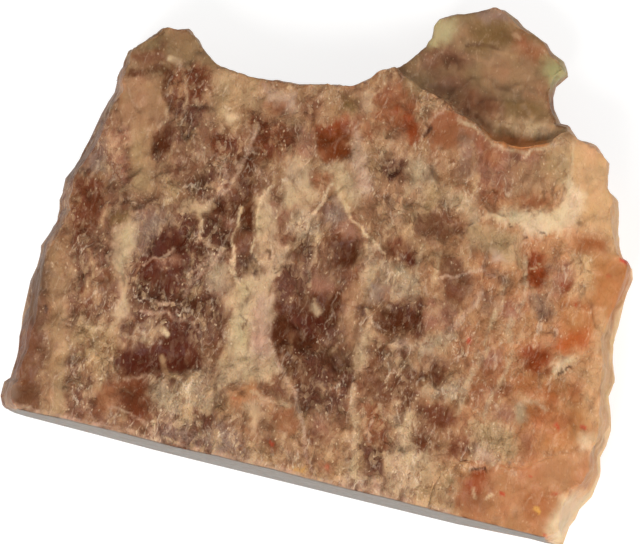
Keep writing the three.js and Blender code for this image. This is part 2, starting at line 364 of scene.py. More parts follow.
# The left edge, the left horn and the sloping facet below it
LEFT_SIDE = (
    Blot(Tone.SIDE, ((-42, 12), (-32.6, 11), (-33.6, 5), (-34.6, -2), (-35.2, -8), (-42, -8)), 0.12, 0.6),
    Blot(Tone.SIDE, ((-33, 12), (-30.6, 12), (-26.3, 21.6), (-25, 28), (-30, 24)), 0.2, 0.6),
    Blot(Tone.BROWN, ((-36.2, -5), (-34.9, -9), (-35.6, -13), (-35.4, -17.6), (-40, -18),
                      (-40, -8)), 0.2, 0.6),
    Blot(Tone.GREY_BROWN, ((-39.6, -12.8), (-38, -12.8), (-38, -18), (-40, -18)), 0.15, 0.4),
    Blot(Tone.TAN, ((-34.2, 4.4), (-31.8, 5), (-31, -4), (-31.6, -10), (-33, -18), (-34.6, -18),
                    (-34, -6)), 0.4),
    Blot(Tone.SAND, ((-33, -3), (-32.2, -3), (-31.8, -10), (-32, -18.4), (-33.6, -18),
                     (-33.2, -10)), 0.4),
    Blot(Tone.HORN, ((-24.6, 28.4), (-20, 31), (-15, 31), (-11.4, 25.3), (-18.6, 25.2),
                     (-24.4, 25)), 0.25),
    Blot(Tone.BROWN, ((-23.6, 27.6), (-19.6, 29), (-19, 26.6), (-22.6, 26)), 0.25),
    Blot(Tone.REDWOOD, ((-18.8, 26.4), (-14, 26), (-13.4, 22), (-16, 20), (-18.6, 21)), 0.6),
    Blot(Tone.TAN, ((-25.2, 24.4), (-20, 24.8), (-19.4, 22.6), (-18.8, 20.6), (-20.8, 17.2), (-21, 14),
                    (-25.4, 14)), 0.25),
    Blot(Tone.SAND, ((-24, 18.4), (-21.2, 17.8), (-20.8, 13), (-20.8, 9.6), (-24, 10.4)), 0.35, 0.6),
    Blot(Tone.ROSE_BROWN, ((-26.6, 17.6), (-24.2, 18), (-24, 11), (-27, 12)), 0.7),
    Blot(Tone.GREY_BROWN, ((-29, 15), (-26.6, 16.6), (-26.8, 12.6), (-30, 12.6)), 0.5),
    Blot(Tone.OLIVE_BROWN, ((-26.4, 7.8), (-23, 7), (-23.2, 5.8), (-26.2, 5.8)), 0.4),
    Blot(Tone.REDWOOD, ((-30.8, 12.4), (-27, 12.2), (-26.9, 8), (-28.6, 5.6), (-31, 3.6),
                        (-31.2, 8)), 0.55),
    Blot(Tone.CHESTNUT, ((-20.9, 17), (-20, 18.2), (-18.4, 18), (-18.6, 15.6), (-20.3, 14.1),
                         (-21, 15)), 0.3, 0.2),
    Blot(Tone.MAUVE_BROWN, ((-18.5, 20.6), (-16.2, 22), (-14.4, 21), (-15.3, 19), (-17.4, 16.4),
                            (-18, 18.4)), 0.6),
    Blot(Tone.LEATHER, ((-30.2, 4), (-26, 4), (-25.6, -6), (-28.4, -6.6), (-31, -3)), 0.85, 0.6),
    Blot(Tone.BROWN, ((-28.2, -0.2), (-25.6, 0), (-25.2, -2.8), (-27.4, -2.4)), 0.3),
    Blot(Tone.REDWOOD, ((-30.2, -2), (-28.8, -1.6), (-28, -6), (-29.6, -6)), 0.5),
    Blot(Tone.SAND, ((-30.4, -6), (-25.8, -6.8), (-24.6, -11), (-28, -13.4), (-31, -9)), 0.8, 0.6),
    Blot(Tone.LEATHER, ((-31.8, -10.6), (-29, -11), (-28.4, -17), (-31.6, -17)), 0.8),
    Blot(Tone.TERRACOTTA, ((-28, -13.6), (-25, -13.6), (-25, -17), (-28, -18)), 0.25, 0.4),
)

# Clear windows and milky areas of the left half of the face
LEFT_FACE = (
    Blot(Tone.CREAM, ((-25.6, 5.4), (-22.8, 6.8), (-22.5, 4), (-23.8, 2), (-23.7, -3), (-24, -5.6),
                      (-26.2, -7.6), (-25.4, -3), (-25, -0.4), (-26.4, 1), (-26, 3.6)), 0.25, 0.25),
    Blot(Tone.OAT, ((-25.4, 4.6), (-24, 5.4), (-23.9, 1), (-24.8, 0)), 0.3, 0.4),
    Blot(Tone.GREY_BROWN, ((-22.8, 7), (-20.6, 7.8), (-18, 7), (-20.5, 3.6), (-22.6, 1.6)), 0.55, 0.5),
    Blot(Tone.MAUVE_BROWN, ((-23.8, 1), (-17, 8), (-12, 5), (-13, -4), (-14, -9), (-22, -9),
                            (-23.8, -4)), 0.85, 0.6),
    Blot(Tone.MAROON, ((-20.8, 3.6), (-18.4, 6), (-16.8, 4.8), (-16.4, 0.4), (-17.5, -0.6),
                       (-18.4, -2.8), (-21, -2), (-22.4, -0.8), (-22.2, 1.4), (-21, 2)), 0.22, 0.25),
    Blot(Tone.ROSE_BROWN, ((-20.6, 1), (-18.4, 2.8), (-17.2, 1.4), (-19.5, 0.3)), 0.5, 0.25),
    Blot(Tone.UMBER, ((-15.6, 3.7), (-14, 3.6), (-13.7, 2.1), (-15.7, 1.8)), 0.4),
    Blot(Tone.UMBER, ((-14.6, 6.6), (-12, 7), (-12, 4.4), (-14.2, 4.6)), 0.5),
    Blot(Tone.OAT, ((-17, 8.6), (-14, 8.6), (-13.6, 7.2), (-16.4, 7.2)), 0.4),
    Blot(Tone.WALNUT, ((-17, 11), (-13.4, 11.8), (-13.4, 9.2), (-16.8, 9.2)), 0.7),
    Blot(Tone.SAND, ((-19.8, 12), (-17.4, 11.6), (-17.2, 9.4), (-19.4, 9)), 0.75),
    Blot(Tone.UMBER, ((-17, -2.6), (-12.4, -3), (-12.4, -5.6), (-17, -4.6), (-21.6, -4.4),
                      (-21.2, -3.6)), 0.65),
    Blot(Tone.MAROON, ((-25, -9.6), (-20.2, -8.6), (-19, -6.8), (-17.8, -6.4), (-16.2, -8), (-15, -10),
                       (-13.4, -12.4), (-16, -13), (-19, -12.6), (-21.4, -13.2), (-25, -12.8),
                       (-25.6, -11)), 0.25),
    Blot(Tone.MAUVE, ((-21.8, -5.2), (-20, -5.8), (-19.8, -8), (-21.6, -8.6), (-22.6, -6.8)), 0.6, 0.4),
    Blot(Tone.UMBER, ((-24.6, -6.2), (-22.9, -6.4), (-22.8, -7.6), (-24.8, -7.6)), 0.4),
    Blot(Tone.BROWN, ((-15, -8.4), (-13, -7.4), (-11.6, -10), (-13.4, -11.8)), 0.5),
    Blot(Tone.REDWOOD, ((-25, -12.8), (-21.6, -13), (-20.9, -15), (-20, -16.8), (-21.4, -18.8),
                        (-23.4, -18.8), (-25, -17.4)), 0.3),
    Blot(Tone.GREY_CREAM, ((-21.4, -13.4), (-19, -12.8), (-17.2, -13), (-14, -12), (-13.2, -16),
                           (-14, -19), (-17, -20.4), (-20.6, -17)), 0.95, 0.5),
    Blot(Tone.UMBER, ((-19.2, -13.2), (-17.6, -13.3), (-17.5, -14.4), (-19, -14.6)), 0.3),
    Blot(Tone.GREY_BROWN, ((-20.6, -18.8), (-13, -18.6), (-9.6, -20.6), (-8.4, -23.4), (-13, -23),
                           (-21, -20.6)), 1.0, 0.5),
    Blot(Tone.MAUVE_BROWN, ((-15.6, -17.4), (-13, -17.6), (-13.2, -20), (-15.6, -19.6)), 0.6),
)

# The middle of the face
MIDDLE_FACE = (
    Blot(Tone.SAND, ((-13.6, 25.4), (-8, 24.4), (-6.6, 22), (-9, 20.4), (-11, 18.6),
                     (-14, 19.6)), 0.45, 0.6),
    Blot(Tone.PALE_CREAM, ((-12, 20), (-11, 20.2), (-10.5, 19.4), (-11.4, 18.8)), 0.2),
    Blot(Tone.PINK_CREAM, ((-7, 23.4), (-3, 22.8), (-2.6, 20.6), (-4.2, 19.8), (-6.4, 21.4)), 0.35),
    Blot(Tone.TERRACOTTA, ((-6.8, 21.6), (-4.4, 21.4), (-4.6, 20), (-6.4, 20.2)), 0.4),
    Blot(Tone.REDWOOD, ((-9.4, 20), (-5.4, 18.8), (-2.4, 17.4), (-2.8, 15.4), (-5, 14.4), (-7.4, 14),
                        (-8.4, 17)), 0.65),
    Blot(Tone.REDWOOD, ((-13.4, 17.2), (-9.6, 17.4), (-9.8, 14.4), (-13, 14)), 0.7),
    Blot(Tone.CHESTNUT, ((-8.8, 18), (-7.8, 17.8), (-7.9, 14), (-8, 11), (-10.4, 9.6), (-10, 13),
                         (-9, 16)), 0.5),
    Blot(Tone.MAUVE_BROWN, ((-14, 14), (-11, 13.6), (-12.4, 8), (-14, 10)), 0.9),
    Blot(Tone.BROWN, ((-2.4, 21.6), (-0.6, 21.4), (0.2, 20.6), (-1, 19), (-2.2, 19.6)), 0.5),
    Blot(Tone.OLIVE_BROWN, ((2.2, 20.2), (3, 21.8), (4.8, 21.7), (4.5, 20)), 0.4),
    Blot(Tone.PINK_CREAM, ((4.1, 18.6), (5.2, 18.2), (5.8, 14), (7.2, 9.6), (4.6, 10), (4, 14)), 0.4),
    Blot(Tone.ROSE_BROWN, ((-2.4, 17.6), (-0.8, 17.8), (-0.4, 15), (-2, 14), (-2.6, 15.4)), 0.5),
    Blot(Tone.RUST, ((-0.8, 18), (0.4, 18.3), (2.2, 18.4), (4, 18.6), (3.7, 16), (3.9, 14.8),
                     (2.6, 13.9), (0.5, 14.2), (-0.4, 15.4)), 0.22, 0.22),
    Blot(Tone.BURNT_ORANGE, ((-0.2, 18.2), (1.4, 18.8), (3.6, 19.4), (3.9, 18.4), (1.6, 17.8)), 0.5),
    Blot(Tone.CREAM, ((5.7, 22.4), (6.7, 23.2), (7, 22.2), (6, 20.4)), 0.25),
    Blot(Tone.TERRACOTTA, ((6.4, 20), (7.3, 23), (10.4, 24.2), (12, 21.6), (12.2, 17), (11, 16.4),
                           (10.2, 18), (8.4, 18.8), (6.2, 17.8)), 0.4),
    Blot(Tone.BURNT_ORANGE, ((9.6, 21), (11, 21), (12, 18.8), (12, 17), (10.8, 17), (10, 19)), 0.3),
    Blot(Tone.TERRACOTTA, ((4.6, 19.6), (6.6, 19.4), (6.4, 17), (5.2, 16.6)), 0.5),
    Blot(Tone.HORN, ((9.4, 26.6), (14, 29), (14.4, 24), (11.8, 22.6)), 0.3),
    Blot(Tone.MAUVE_BROWN, ((7.8, 14.6), (10.6, 14.8), (10.8, 11.6), (8.2, 11)), 0.6),
    Blot(Tone.GREY_CREAM, ((11, 14.4), (14.4, 13.4), (15, 9.6), (11, 10.4)), 0.5),
    Blot(Tone.CREAM, ((-4.6, 14), (-2.4, 14.6), (-0.6, 12), (-0.4, 9), (-2.6, 5.4), (-5, 8),
                      (-4.2, 11)), 0.4),
    Blot(Tone.CREAM, ((0.4, 13.6), (3, 13.8), (4.6, 11), (5, 8.6), (3.2, 8.4), (1.6, 11)), 0.45),
    Blot(Tone.TERRACOTTA, ((-1, 12.2), (1.4, 12.4), (1.6, 10.8), (-0.6, 10.6)), 0.6),
    Blot(Tone.ROSE_BROWN, ((-5.2, 8), (-2.6, 8.2), (-2.8, 6.2), (-5, 6.2)), 0.4),
    Blot(Tone.CHESTNUT, ((-13.6, 8.3), (-12, 8.8), (-10.4, 9.8), (-10.2, 8), (-11.5, 7),
                         (-13.6, 6.9)), 0.4),
    Blot(Tone.CHESTNUT, ((-10, 10.2), (-8.4, 8.4), (-8.1, 5), (-10, 5.3), (-10, 7.6)), 0.35),
    Blot(Tone.ROSE_BROWN, ((-12.8, 7), (-10.4, 6.8), (-10.8, 4.8), (-12, 5.4)), 0.4),
    Blot(Tone.UMBER, ((-13.9, 5.7), (-11.2, 4.8), (-11.1, 2.8), (-12.6, 3)), 0.5),
    Blot(Tone.BROWN, ((-10.8, 5), (-8.4, 5), (-8.6, 2), (-10.6, 1.4)), 0.4),
    Blot(Tone.WALNUT, ((-10.6, 2), (-8.6, 2), (-7.6, 0.4), (-8.6, -0.6), (-10.4, 0.2)), 0.4),
    Blot(Tone.GREY_CREAM, ((-14, 2.2), (-12, 1.6), (-11.2, 0.2), (-11.4, -2.8), (-14, -2.4)), 0.5),
    Blot(Tone.CREAM, ((-8, 9), (-6.5, 10.5), (-5.4, 7), (-5.4, 4), (-3.8, 3.2), (-3.8, 1.3),
                      (-5.4, 0.2), (-5.8, -2), (-5.9, -6), (-6.6, -8.5), (-5.8, -10.5), (-5.2, -12.4),
                      (-7.4, -14.4), (-11, -14), (-14, -15), (-12, -9.4), (-11.2, -6), (-11.8, -3),
                      (-10, -1), (-8.3, -0.7), (-7.4, 0.6), (-8.5, 2), (-8, 4)), 0.5, 0.25),
    Blot(Tone.OAT, ((-10.6, -1), (-8.4, -1.6), (-8.6, -9), (-10.6, -10)), 0.45, 0.5),
    Blot(Tone.PINK_CREAM, ((-7.4, -2.6), (-6, -3), (-6, -6.4), (-6.6, -9), (-5.6, -11), (-8.6, -10),
                           (-8.4, -6)), 0.35),
    Blot(Tone.GREY_CREAM, ((-3.8, 7.6), (-0.6, 7.4), (0.2, 4.4), (-2.2, 3.6), (-4, 5)), 0.75),
    Blot(Tone.GREY_BROWN, ((0.4, 8.2), (3, 8.2), (3.4, 6.2), (1.6, 5.4), (0.2, 6)), 0.5),
    Blot(Tone.WALNUT, ((-3.4, 4), (-0.8, 4), (-0.8, 1.8), (-3.4, 1.8)), 0.7),
    Blot(Tone.LEATHER, ((-1, 2.4), (1.2, 3.4), (4.6, 0.6), (4.8, -1.4), (2.4, -1.8), (-1.2, -1.6)), 0.5),
    Blot(Tone.ROSE_BROWN, ((1.8, 5), (3.6, 6.4), (5.6, 4.6), (5.4, 3.2), (3.4, 3.6)), 0.35),
    Blot(Tone.CHESTNUT, ((1.3, 3.9), (2.8, 4.4), (4.6, 4), (5.2, 2.4), (4.7, 0.6), (3, 0.9),
                         (1.5, 1.6)), 0.25),
    Blot(Tone.REDWOOD, ((3.2, 0), (4.8, 0.4), (4.4, -1), (3.4, -1.6)), 0.4),
    Blot(Tone.MAUVE_BROWN, ((-5.2, 0), (-3.5, 0.6), (-2.5, 1.5), (-0.8, 1.4), (-1.2, -1), (-1.8, -2.8),
                            (-3, -3.4), (-5.2, -3)), 0.5),
    Blot(Tone.CHESTNUT, ((-5.4, -3.8), (-3.5, -3.6), (-1.8, -2.8), (-0.6, -2.4), (1, -2.2),
                         (2.5, -2.6), (2.6, -4.6), (2.2, -6.8), (1.2, -7.6), (-1.4, -8.8), (-2.4, -10),
                         (-3.4, -11.2), (-5.2, -10.4), (-6.2, -7.6)), 0.3),
    Blot(Tone.MAROON, ((-3.6, -5.4), (0.4, -5.2), (1.8, -6.6), (-1, -8.4), (-3.2, -7.6)), 0.25),
    Blot(Tone.ROSE_BROWN, ((-1.2, -0.8), (1, -1), (2.4, -1.8), (0.6, -2.8), (-1.2, -2.4)), 0.3),
    Blot(Tone.PALE_CREAM, ((-0.8, -3.4), (-0.3, -3.8), (-0.1, -5), (-0.5, -5.5), (-0.8, -4.6)), 0.2, 0.2),
    Blot(Tone.MAUVE_BROWN, ((0.4, -6.8), (2.4, -6.6), (3, -8.6), (0.6, -9)), 0.45),
    Blot(Tone.UMBER, ((0.4, -9.6), (3.8, -9.8), (4, -11.4), (3.4, -12.8), (1, -12.6)), 0.35),
    Blot(Tone.MAUVE_BROWN, ((-3, -9.8), (0, -9.6), (0.4, -12.4), (-2, -11.6)), 0.7),
    Blot(Tone.CHESTNUT, ((-4.8, -10), (-3, -10.2), (-2, -11.4), (0.4, -12.6), (0.2, -14),
                         (-1.4, -15.2), (-3, -14.6), (-4, -12.6)), 0.4),
    Blot(Tone.MAUVE_BROWN, ((0.2, -12.8), (3.6, -12.8), (3.6, -16), (1, -18), (-2.4, -17.6),
                            (-2.8, -15.2)), 0.65, 0.5),
    Blot(Tone.TAN, ((3, -2), (4.8, -0.8), (5.8, -2.4), (4.8, -5), (4.4, -9), (2.8, -9), (2.6, -5)), 0.4),
    Blot(Tone.CREAM, ((5.3, 3.6), (6.6, 3.6), (7, 0), (6, -2.2), (5, -1.6), (5.4, 0.6)), 0.55),
    Blot(Tone.GREY_CREAM, ((7, 1.9), (10, 1), (12.6, -0.6), (12.4, -3), (10, -3.6), (8.5, -2),
                           (7, -0.6)), 0.7),
    Blot(Tone.GREY_BROWN, ((6.2, -1.8), (7.6, -1.2), (8.6, -2), (8.2, -4), (6, -3.8)), 0.3),
    Blot(Tone.REDWOOD, ((8.4, 4), (10, 4.9), (11.6, 3.4), (12, 1.4), (10.4, 0.6), (9, 2)), 0.35),
    Blot(Tone.MAROON, ((10.2, 2), (11.8, 2.2), (12, 0.8), (10.8, 0.8)), 0.3),
    Blot(Tone.TAN, ((7, 9.8), (12, 9.4), (12.6, 5.4), (10, 5.2), (7.4, 6)), 0.75, 0.5),
    Blot(Tone.CHESTNUT, ((9, -4.2), (10.6, -4.4), (12.2, -4), (13.1, -6), (12, -7.7), (9.4, -7.6),
                         (7, -7), (7.4, -5)), 0.4),
    Blot(Tone.UMBER, ((4.6, -4.2), (5.9, -4.2), (5.6, -6), (4.8, -6)), 0.4),
    Blot(Tone.CREAM, ((5.6, -7), (7, -7.6), (6, -10), (5.4, -12.6), (4.2, -12.4), (4.6, -9.6)), 0.6),
    Blot(Tone.PINK_CREAM, ((9.2, -8.6), (11.6, -9), (11.2, -10.2), (9, -9.8)), 0.4),
    Blot(Tone.WALNUT, ((7.6, -10), (11.6, -10.2), (11, -12.4), (8, -12.6)), 0.7),
    Blot(Tone.BROWN, ((6.2, -13.4), (9, -13), (12.4, -12.4), (12.4, -16), (10, -17), (7, -16)), 0.6),
    Blot(Tone.CHESTNUT, ((10.4, -12.6), (12.6, -12.6), (12.4, -14), (10.6, -13.8)), 0.4),
    Blot(Tone.CHESTNUT, ((10, -14.8), (12.2, -15), (11.8, -16), (10.2, -16)), 0.4),
    Blot(Tone.PEACH, ((-11, -15), (-8.5, -13.8), (-7, -15.6), (-8.6, -16.3), (-10.6, -17)), 0.35, 0.4),
    Blot(Tone.CREAM, ((-9.6, -16.5), (-7, -16.2), (-7, -18.6), (-8, -20.4), (-9, -19)), 0.25),
    Blot(Tone.LEATHER, ((-10, -17.6), (-9, -17.8), (-9, -19.6), (-10, -19.4)), 0.4),
    Blot(Tone.BROWN, ((-7.2, -13.8), (-4.6, -13.6), (-4.4, -16), (-7, -15.4)), 0.5),
    Blot(Tone.TERRACOTTA, ((-6, -17.8), (-3.6, -17.4), (-2.6, -19), (-3, -20.6), (-6, -20.2)), 0.3),
    Blot(Tone.REDWOOD, ((-6.8, -21), (-5.4, -21.1), (-5.6, -22.8), (-6.6, -22.6)), 0.3),
    Blot(Tone.HONEY, ((-3.6, -24.6), (-1.9, -25), (-1.8, -25.8), (-3.6, -25.4)), 0.3),
    Blot(Tone.TERRACOTTA, ((0.2, -24), (1.4, -23.8), (1.6, -25), (0.6, -25.4)), 0.4),
    Blot(Tone.ROSE_BROWN, ((-1.2, -18), (1.4, -18), (1.2, -20), (-1, -20)), 0.4),
    Blot(Tone.BROWN, ((-2, -20), (1.2, -20.2), (0.4, -21.8), (-1.8, -21.6)), 0.5),
    Blot(Tone.TERRACOTTA, ((5.4, -16.6), (8, -17), (8.4, -22), (6, -22.4)), 0.85),
    Blot(Tone.REDWOOD, ((6.8, -19.4), (8.4, -19.8), (8, -22), (6.6, -21.8)), 0.4),
    Blot(Tone.MAUVE_BROWN, ((4.8, -22), (7.8, -22.2), (8, -25.6), (5.6, -24.6)), 0.7),
    Blot(Tone.PINK_CREAM, ((3.4, -24.6), (7.6, -26), (8, -28.4), (2.4, -26.8)), 0.9),
    Blot(Tone.CREAM, ((9, -18), (11.4, -17), (11.8, -20), (12, -22), (14, -24), (16, -29.6), (8, -28),
                      (8.4, -24), (9.4, -21)), 0.75),
    Blot(Tone.BROWN, ((11.8, -16.6), (14, -16.8), (13.8, -22.4), (12.2, -22)), 0.5),
)

# The right half of the face, the bowl and the lower right facet
RIGHT_FACE = (
    Blot(Tone.TERRACOTTA, ((14, 20.4), (16.5, 21.2), (18, 19.4), (19.6, 17), (18.4, 15.6),
                           (15.8, 15.8), (13.6, 15.8), (12.8, 17)), 0.2),
    Blot(Tone.TAN, ((12.2, 22), (15, 22), (16.6, 21), (14, 20.2), (12.2, 19)), 1.0),
    Blot(Tone.ROSE_BROWN, ((19.4, 17.4), (21, 16.4), (28, 14.8), (27.6, 10.4), (24, 9.6), (20, 9.8),
                           (19.6, 13)), 0.45),
    Blot(Tone.TERRACOTTA, ((19.6, 17), (21, 15.8), (23.6, 15), (22.4, 13.4), (20.4, 14)), 0.35),
    Blot(Tone.MAUVE, ((17.6, 17.2), (19, 17), (19.3, 11.8), (17.1, 11.8), (17.5, 15)), 0.35, 0.4),
    Blot(Tone.REDWOOD, ((24.8, 12.8), (26, 12.8), (26, 11.6), (24.8, 11.8)), 0.3),
    Blot(Tone.SAND, ((28, 15.6), (31.6, 16.4), (31.6, 10.4), (28.4, 11)), 0.45),
    Blot(Tone.APRICOT, ((31.6, 16.6), (34.4, 16), (36.2, 14), (36.4, 8), (33.4, 6.4), (31.6, 9)), 0.22),
    Blot(Tone.SAND, ((12.6, 11.4), (15.8, 11), (17, 8.4), (13.4, 8)), 0.6),
    Blot(Tone.CREAM, ((15.6, 10.4), (19.6, 10), (20.4, 7), (18.4, 4.8), (17.8, 7.6), (15.6, 8.4)), 0.6),
    Blot(Tone.TERRACOTTA, ((20.4, 11), (23, 11), (23.2, 9.4), (20.8, 9.4)), 0.5),
    Blot(Tone.TAN, ((23.6, 13.6), (28, 14), (28.6, 9.6), (24, 9.4)), 0.4, 0.6),
    Blot(Tone.TERRACOTTA, ((25.4, 9.4), (28.4, 9.8), (29.2, 8.8), (28, 7.9), (25.2, 8.4)), 0.3),
    Blot(Tone.BROWN, ((12, 7), (14, 7.6), (16, 8), (17.7, 6.2), (16.7, 4.2), (13.5, 3.6),
                      (11.8, 4.6)), 0.35),
    Blot(Tone.SAND, ((18.4, 6.4), (25.4, 4.6), (25.4, 0.4), (21, 2.6), (18.6, 3)), 0.5),
    Blot(Tone.PALE_CREAM, ((31, 11.4), (33.2, 10), (33, 8), (32, 6.2), (30, 5), (27.5, 4.4),
                           (25.5, 4.8), (24, 6), (20.6, 7), (24, 8), (26, 7.5), (28, 7.5), (30, 8.4),
                           (30.8, 10)), 0.35),
    Blot(Tone.ORANGE, ((32.1, 4.6), (34.6, 4.9), (35.9, 4.2), (36, 2.6), (33.6, 2.2),
                       (32.2, 2.8)), 0.2, 0.5),
    Blot(Tone.AMBER, ((34, 2), (39.4, 2), (39.4, -3), (36.6, -6), (33.6, -4)), 0.18, 0.6),
    Blot(Tone.APRICOT, ((31.6, 2), (34, 2.2), (34, -1), (32.6, -3.2), (30.8, -3)), 0.6),
    Blot(Tone.BURNT_ORANGE, ((25.8, 2.6), (28.3, 2.2), (28.5, -0.4), (28.3, -2), (26, -2),
                             (25.8, 0)), 0.35),
    Blot(Tone.ROSE_BROWN, ((28.6, 1.6), (31.4, 1), (31.2, -2), (29.4, -3.4), (28.4, -2)), 0.45),
    Blot(Tone.BURNT_ORANGE, ((29.8, -1.2), (31.2, -1.2), (31, -2.8), (30, -2.6)), 0.35),
    Blot(Tone.ORANGE, ((29.8, -3.6), (33.9, -3.6), (34, -4.5), (30, -4.7)), 0.3),
    Blot(Tone.AMBER, ((29.8, -5), (34.8, -4.8), (34.8, -8), (30.4, -7.6)), 0.25),
    Blot(Tone.BRIGHT_ORANGE, ((31.6, -7), (33.5, -7), (33.8, -8.8), (31, -10.2), (28.8, -9.4),
                              (30, -8)), 0.25, 0.4),
    Blot(Tone.BROWN, ((15.5, 2.6), (17.6, 1.8), (18, 0.2), (19.4, -1), (19.1, -3), (17.4, -3.9),
                      (15.4, -3.3), (14.9, -1)), 0.35),
    Blot(Tone.REDWOOD, ((16, -2), (17.6, -2.2), (17.2, -3.4), (15.8, -3)), 0.3),
    Blot(Tone.PINK_CREAM, ((21.4, 3.2), (22.6, 3), (23.3, 1.6), (21.5, 1.4)), 0.2, 0.2),
    Blot(Tone.LEATHER, ((21.8, 0.2), (24, -0.4), (24.2, -1.8), (22.2, -1.4)), 0.5),
    Blot(Tone.CHESTNUT, ((12, -3), (13, -3.6), (13.3, -6), (12.4, -8.2), (11.4, -7.6)), 0.5),
    Blot(Tone.ROSE_BROWN, ((13.4, -3.8), (15.6, -3.6), (17.4, -5), (16.4, -7.4), (13.4, -7.4)), 0.5),
    Blot(Tone.LEATHER, ((20.2, -2), (22, -2.4), (21.6, -5.6), (20, -5)), 0.4),
    Blot(Tone.ROSE_BROWN, ((22.6, -3.8), (25.2, -4), (24.8, -5.8), (22.8, -5.6)), 0.4),
    Blot(Tone.MAUVE, ((26, -2.8), (28.4, -2.8), (29.2, -6), (27.4, -6.2), (26.2, -4.6)), 0.5),
    Blot(Tone.PEACH, ((26, -6.4), (29.6, -6.2), (29.4, -9), (26, -9)), 0.6),
    Blot(Tone.GREY_CREAM, ((11.8, -9), (14, -8), (16.2, -7.6), (17, -8.6), (14.5, -10),
                           (12.5, -11)), 0.75),
    Blot(Tone.CHESTNUT, ((13.8, -10.6), (16, -11.4), (15.8, -13.4), (14, -13.9), (13.6, -12)), 0.35, 0.5),
    Blot(Tone.GREY_CREAM, ((12.4, -15.2), (14, -13.9), (16.8, -13.9), (18.6, -14.2), (17.4, -16),
                           (15, -16)), 0.7),
    Blot(Tone.REDWOOD, ((14.4, -16.4), (16.4, -16.6), (16.8, -18.8), (15.4, -20.2), (13.4, -19),
                        (13, -17)), 0.35),
    Blot(Tone.BURNT_ORANGE, ((25.2, -9.5), (28.6, -9.3), (28.9, -10.8), (28, -12.2), (26.4, -12.6),
                             (25, -11)), 0.35),
    Blot(Tone.ROSE_BROWN, ((20.2, -9.8), (22.6, -10), (22.4, -12), (20.4, -12)), 0.45),
    Blot(Tone.TERRACOTTA, ((20, -11.8), (22.5, -11.8), (22.2, -13.6), (20, -13.4)), 0.35),
    Blot(Tone.TERRACOTTA, ((18.8, -14.3), (22.2, -14), (24.2, -14.2), (24, -16), (21.6, -16),
                           (19, -16)), 0.5),
    Blot(Tone.ORANGE, ((24.4, -12.8), (26.8, -12.8), (26.6, -15), (24.6, -15)), 0.4),
    Blot(Tone.ORANGE, ((26.4, -15), (29, -14), (32.2, -14.4), (32.2, -16.6), (28, -16.6)), 0.35, 0.4),
    Blot(Tone.PALE_CREAM, ((29, -11.8), (31.6, -10.4), (32, -11), (29.8, -12.8)), 0.4),
    Blot(Tone.AMBER, ((29.2, -17.4), (32.8, -17.2), (33.4, -20.4), (30, -21.4), (28.6, -19.6)), 0.2, 0.5),
    Blot(Tone.ORANGE, ((29.6, -17.8), (32, -17.7), (32.4, -19), (30, -19.6)), 0.2, 0.5),
    Blot(Tone.ORANGE, ((25.8, -17), (28.8, -17), (28.8, -19), (26, -19)), 0.3, 0.5),
    Blot(Tone.GREY_CREAM, ((24.2, -16.6), (25.2, -16.6), (25.5, -18), (24.9, -19.2),
                           (24.1, -18.2)), 0.25),
    Blot(Tone.ROSE_BROWN, ((21.8, -16.8), (23.9, -16.9), (23.8, -18.6), (22, -18.4)), 0.4),
    Blot(Tone.SAND, ((18.6, -19), (22, -18.6), (24, -20), (24.2, -23.6), (21.4, -24),
                     (18.8, -23.8)), 0.8),
    Blot(Tone.PINK_CREAM, ((19.6, -22), (21.4, -22.2), (21.4, -23.8), (19.4, -23.8)), 0.4),
    Blot(Tone.REDWOOD, ((16.4, -20.4), (18.5, -20.6), (18.4, -22.8), (17, -23.8), (15.8, -22.4)), 0.5),
    Blot(Tone.REDWOOD, ((11.9, -20.8), (14, -21), (13.6, -22.6), (12, -22.4)), 0.5),
    Blot(Tone.TERRACOTTA, ((25, -20), (26.9, -20.2), (26.6, -23), (25.2, -22.8)), 0.35, 0.5),
    Blot(Tone.AMBER, ((27, -20), (33.8, -20), (33.4, -22.2), (27.6, -23)), 0.3, 0.6),
    Blot(Tone.PALE_CREAM, ((32.6, -20.4), (34.2, -20.4), (34, -22), (32.4, -22)), 0.25, 0.4),
    Blot(Tone.PEACH, ((24.4, -23.6), (34.6, -22.8), (33.6, -27), (28, -26.6), (25, -25.2)), 0.15, 0.5),
    Blot(Tone.PEACH, ((17, -26), (18.6, -24.6), (20.4, -24.2), (25, -25.2), (28, -26), (31, -27),
                      (30, -30), (28.4, -33.6), (17.4, -31)), 0.22),
    Blot(Tone.TERRACOTTA, ((17.2, -26), (20.6, -25.2), (21.4, -28), (20, -30), (17, -29.4)), 0.25, 0.7),
    Blot(Tone.ORANGE, ((25.4, -27.6), (28.4, -27.8), (28, -30.6), (25.6, -30.4)), 0.2, 0.7),
    Blot(Tone.BURNT_ORANGE, ((17.8, -26.4), (19.2, -24.7), (20.9, -24.6), (20.7, -26.2), (19.8, -27.2),
                             (18, -27.2)), 0.25),
    Blot(Tone.SAND, ((12.2, -24), (15.6, -24), (17, -26.6), (16.4, -30), (12.4, -28.6)), 0.7),
    Blot(Tone.OLIVE_BROWN, ((15.6, -25.8), (16.6, -26), (16.5, -27), (15.7, -26.8)), 0.4),
    Blot(Tone.PALE_CREAM, ((30.4, -28.2), (33.2, -27.4), (36, -27), (34, -32), (30, -35),
                           (28.2, -32)), 0.15, 0.4),
)

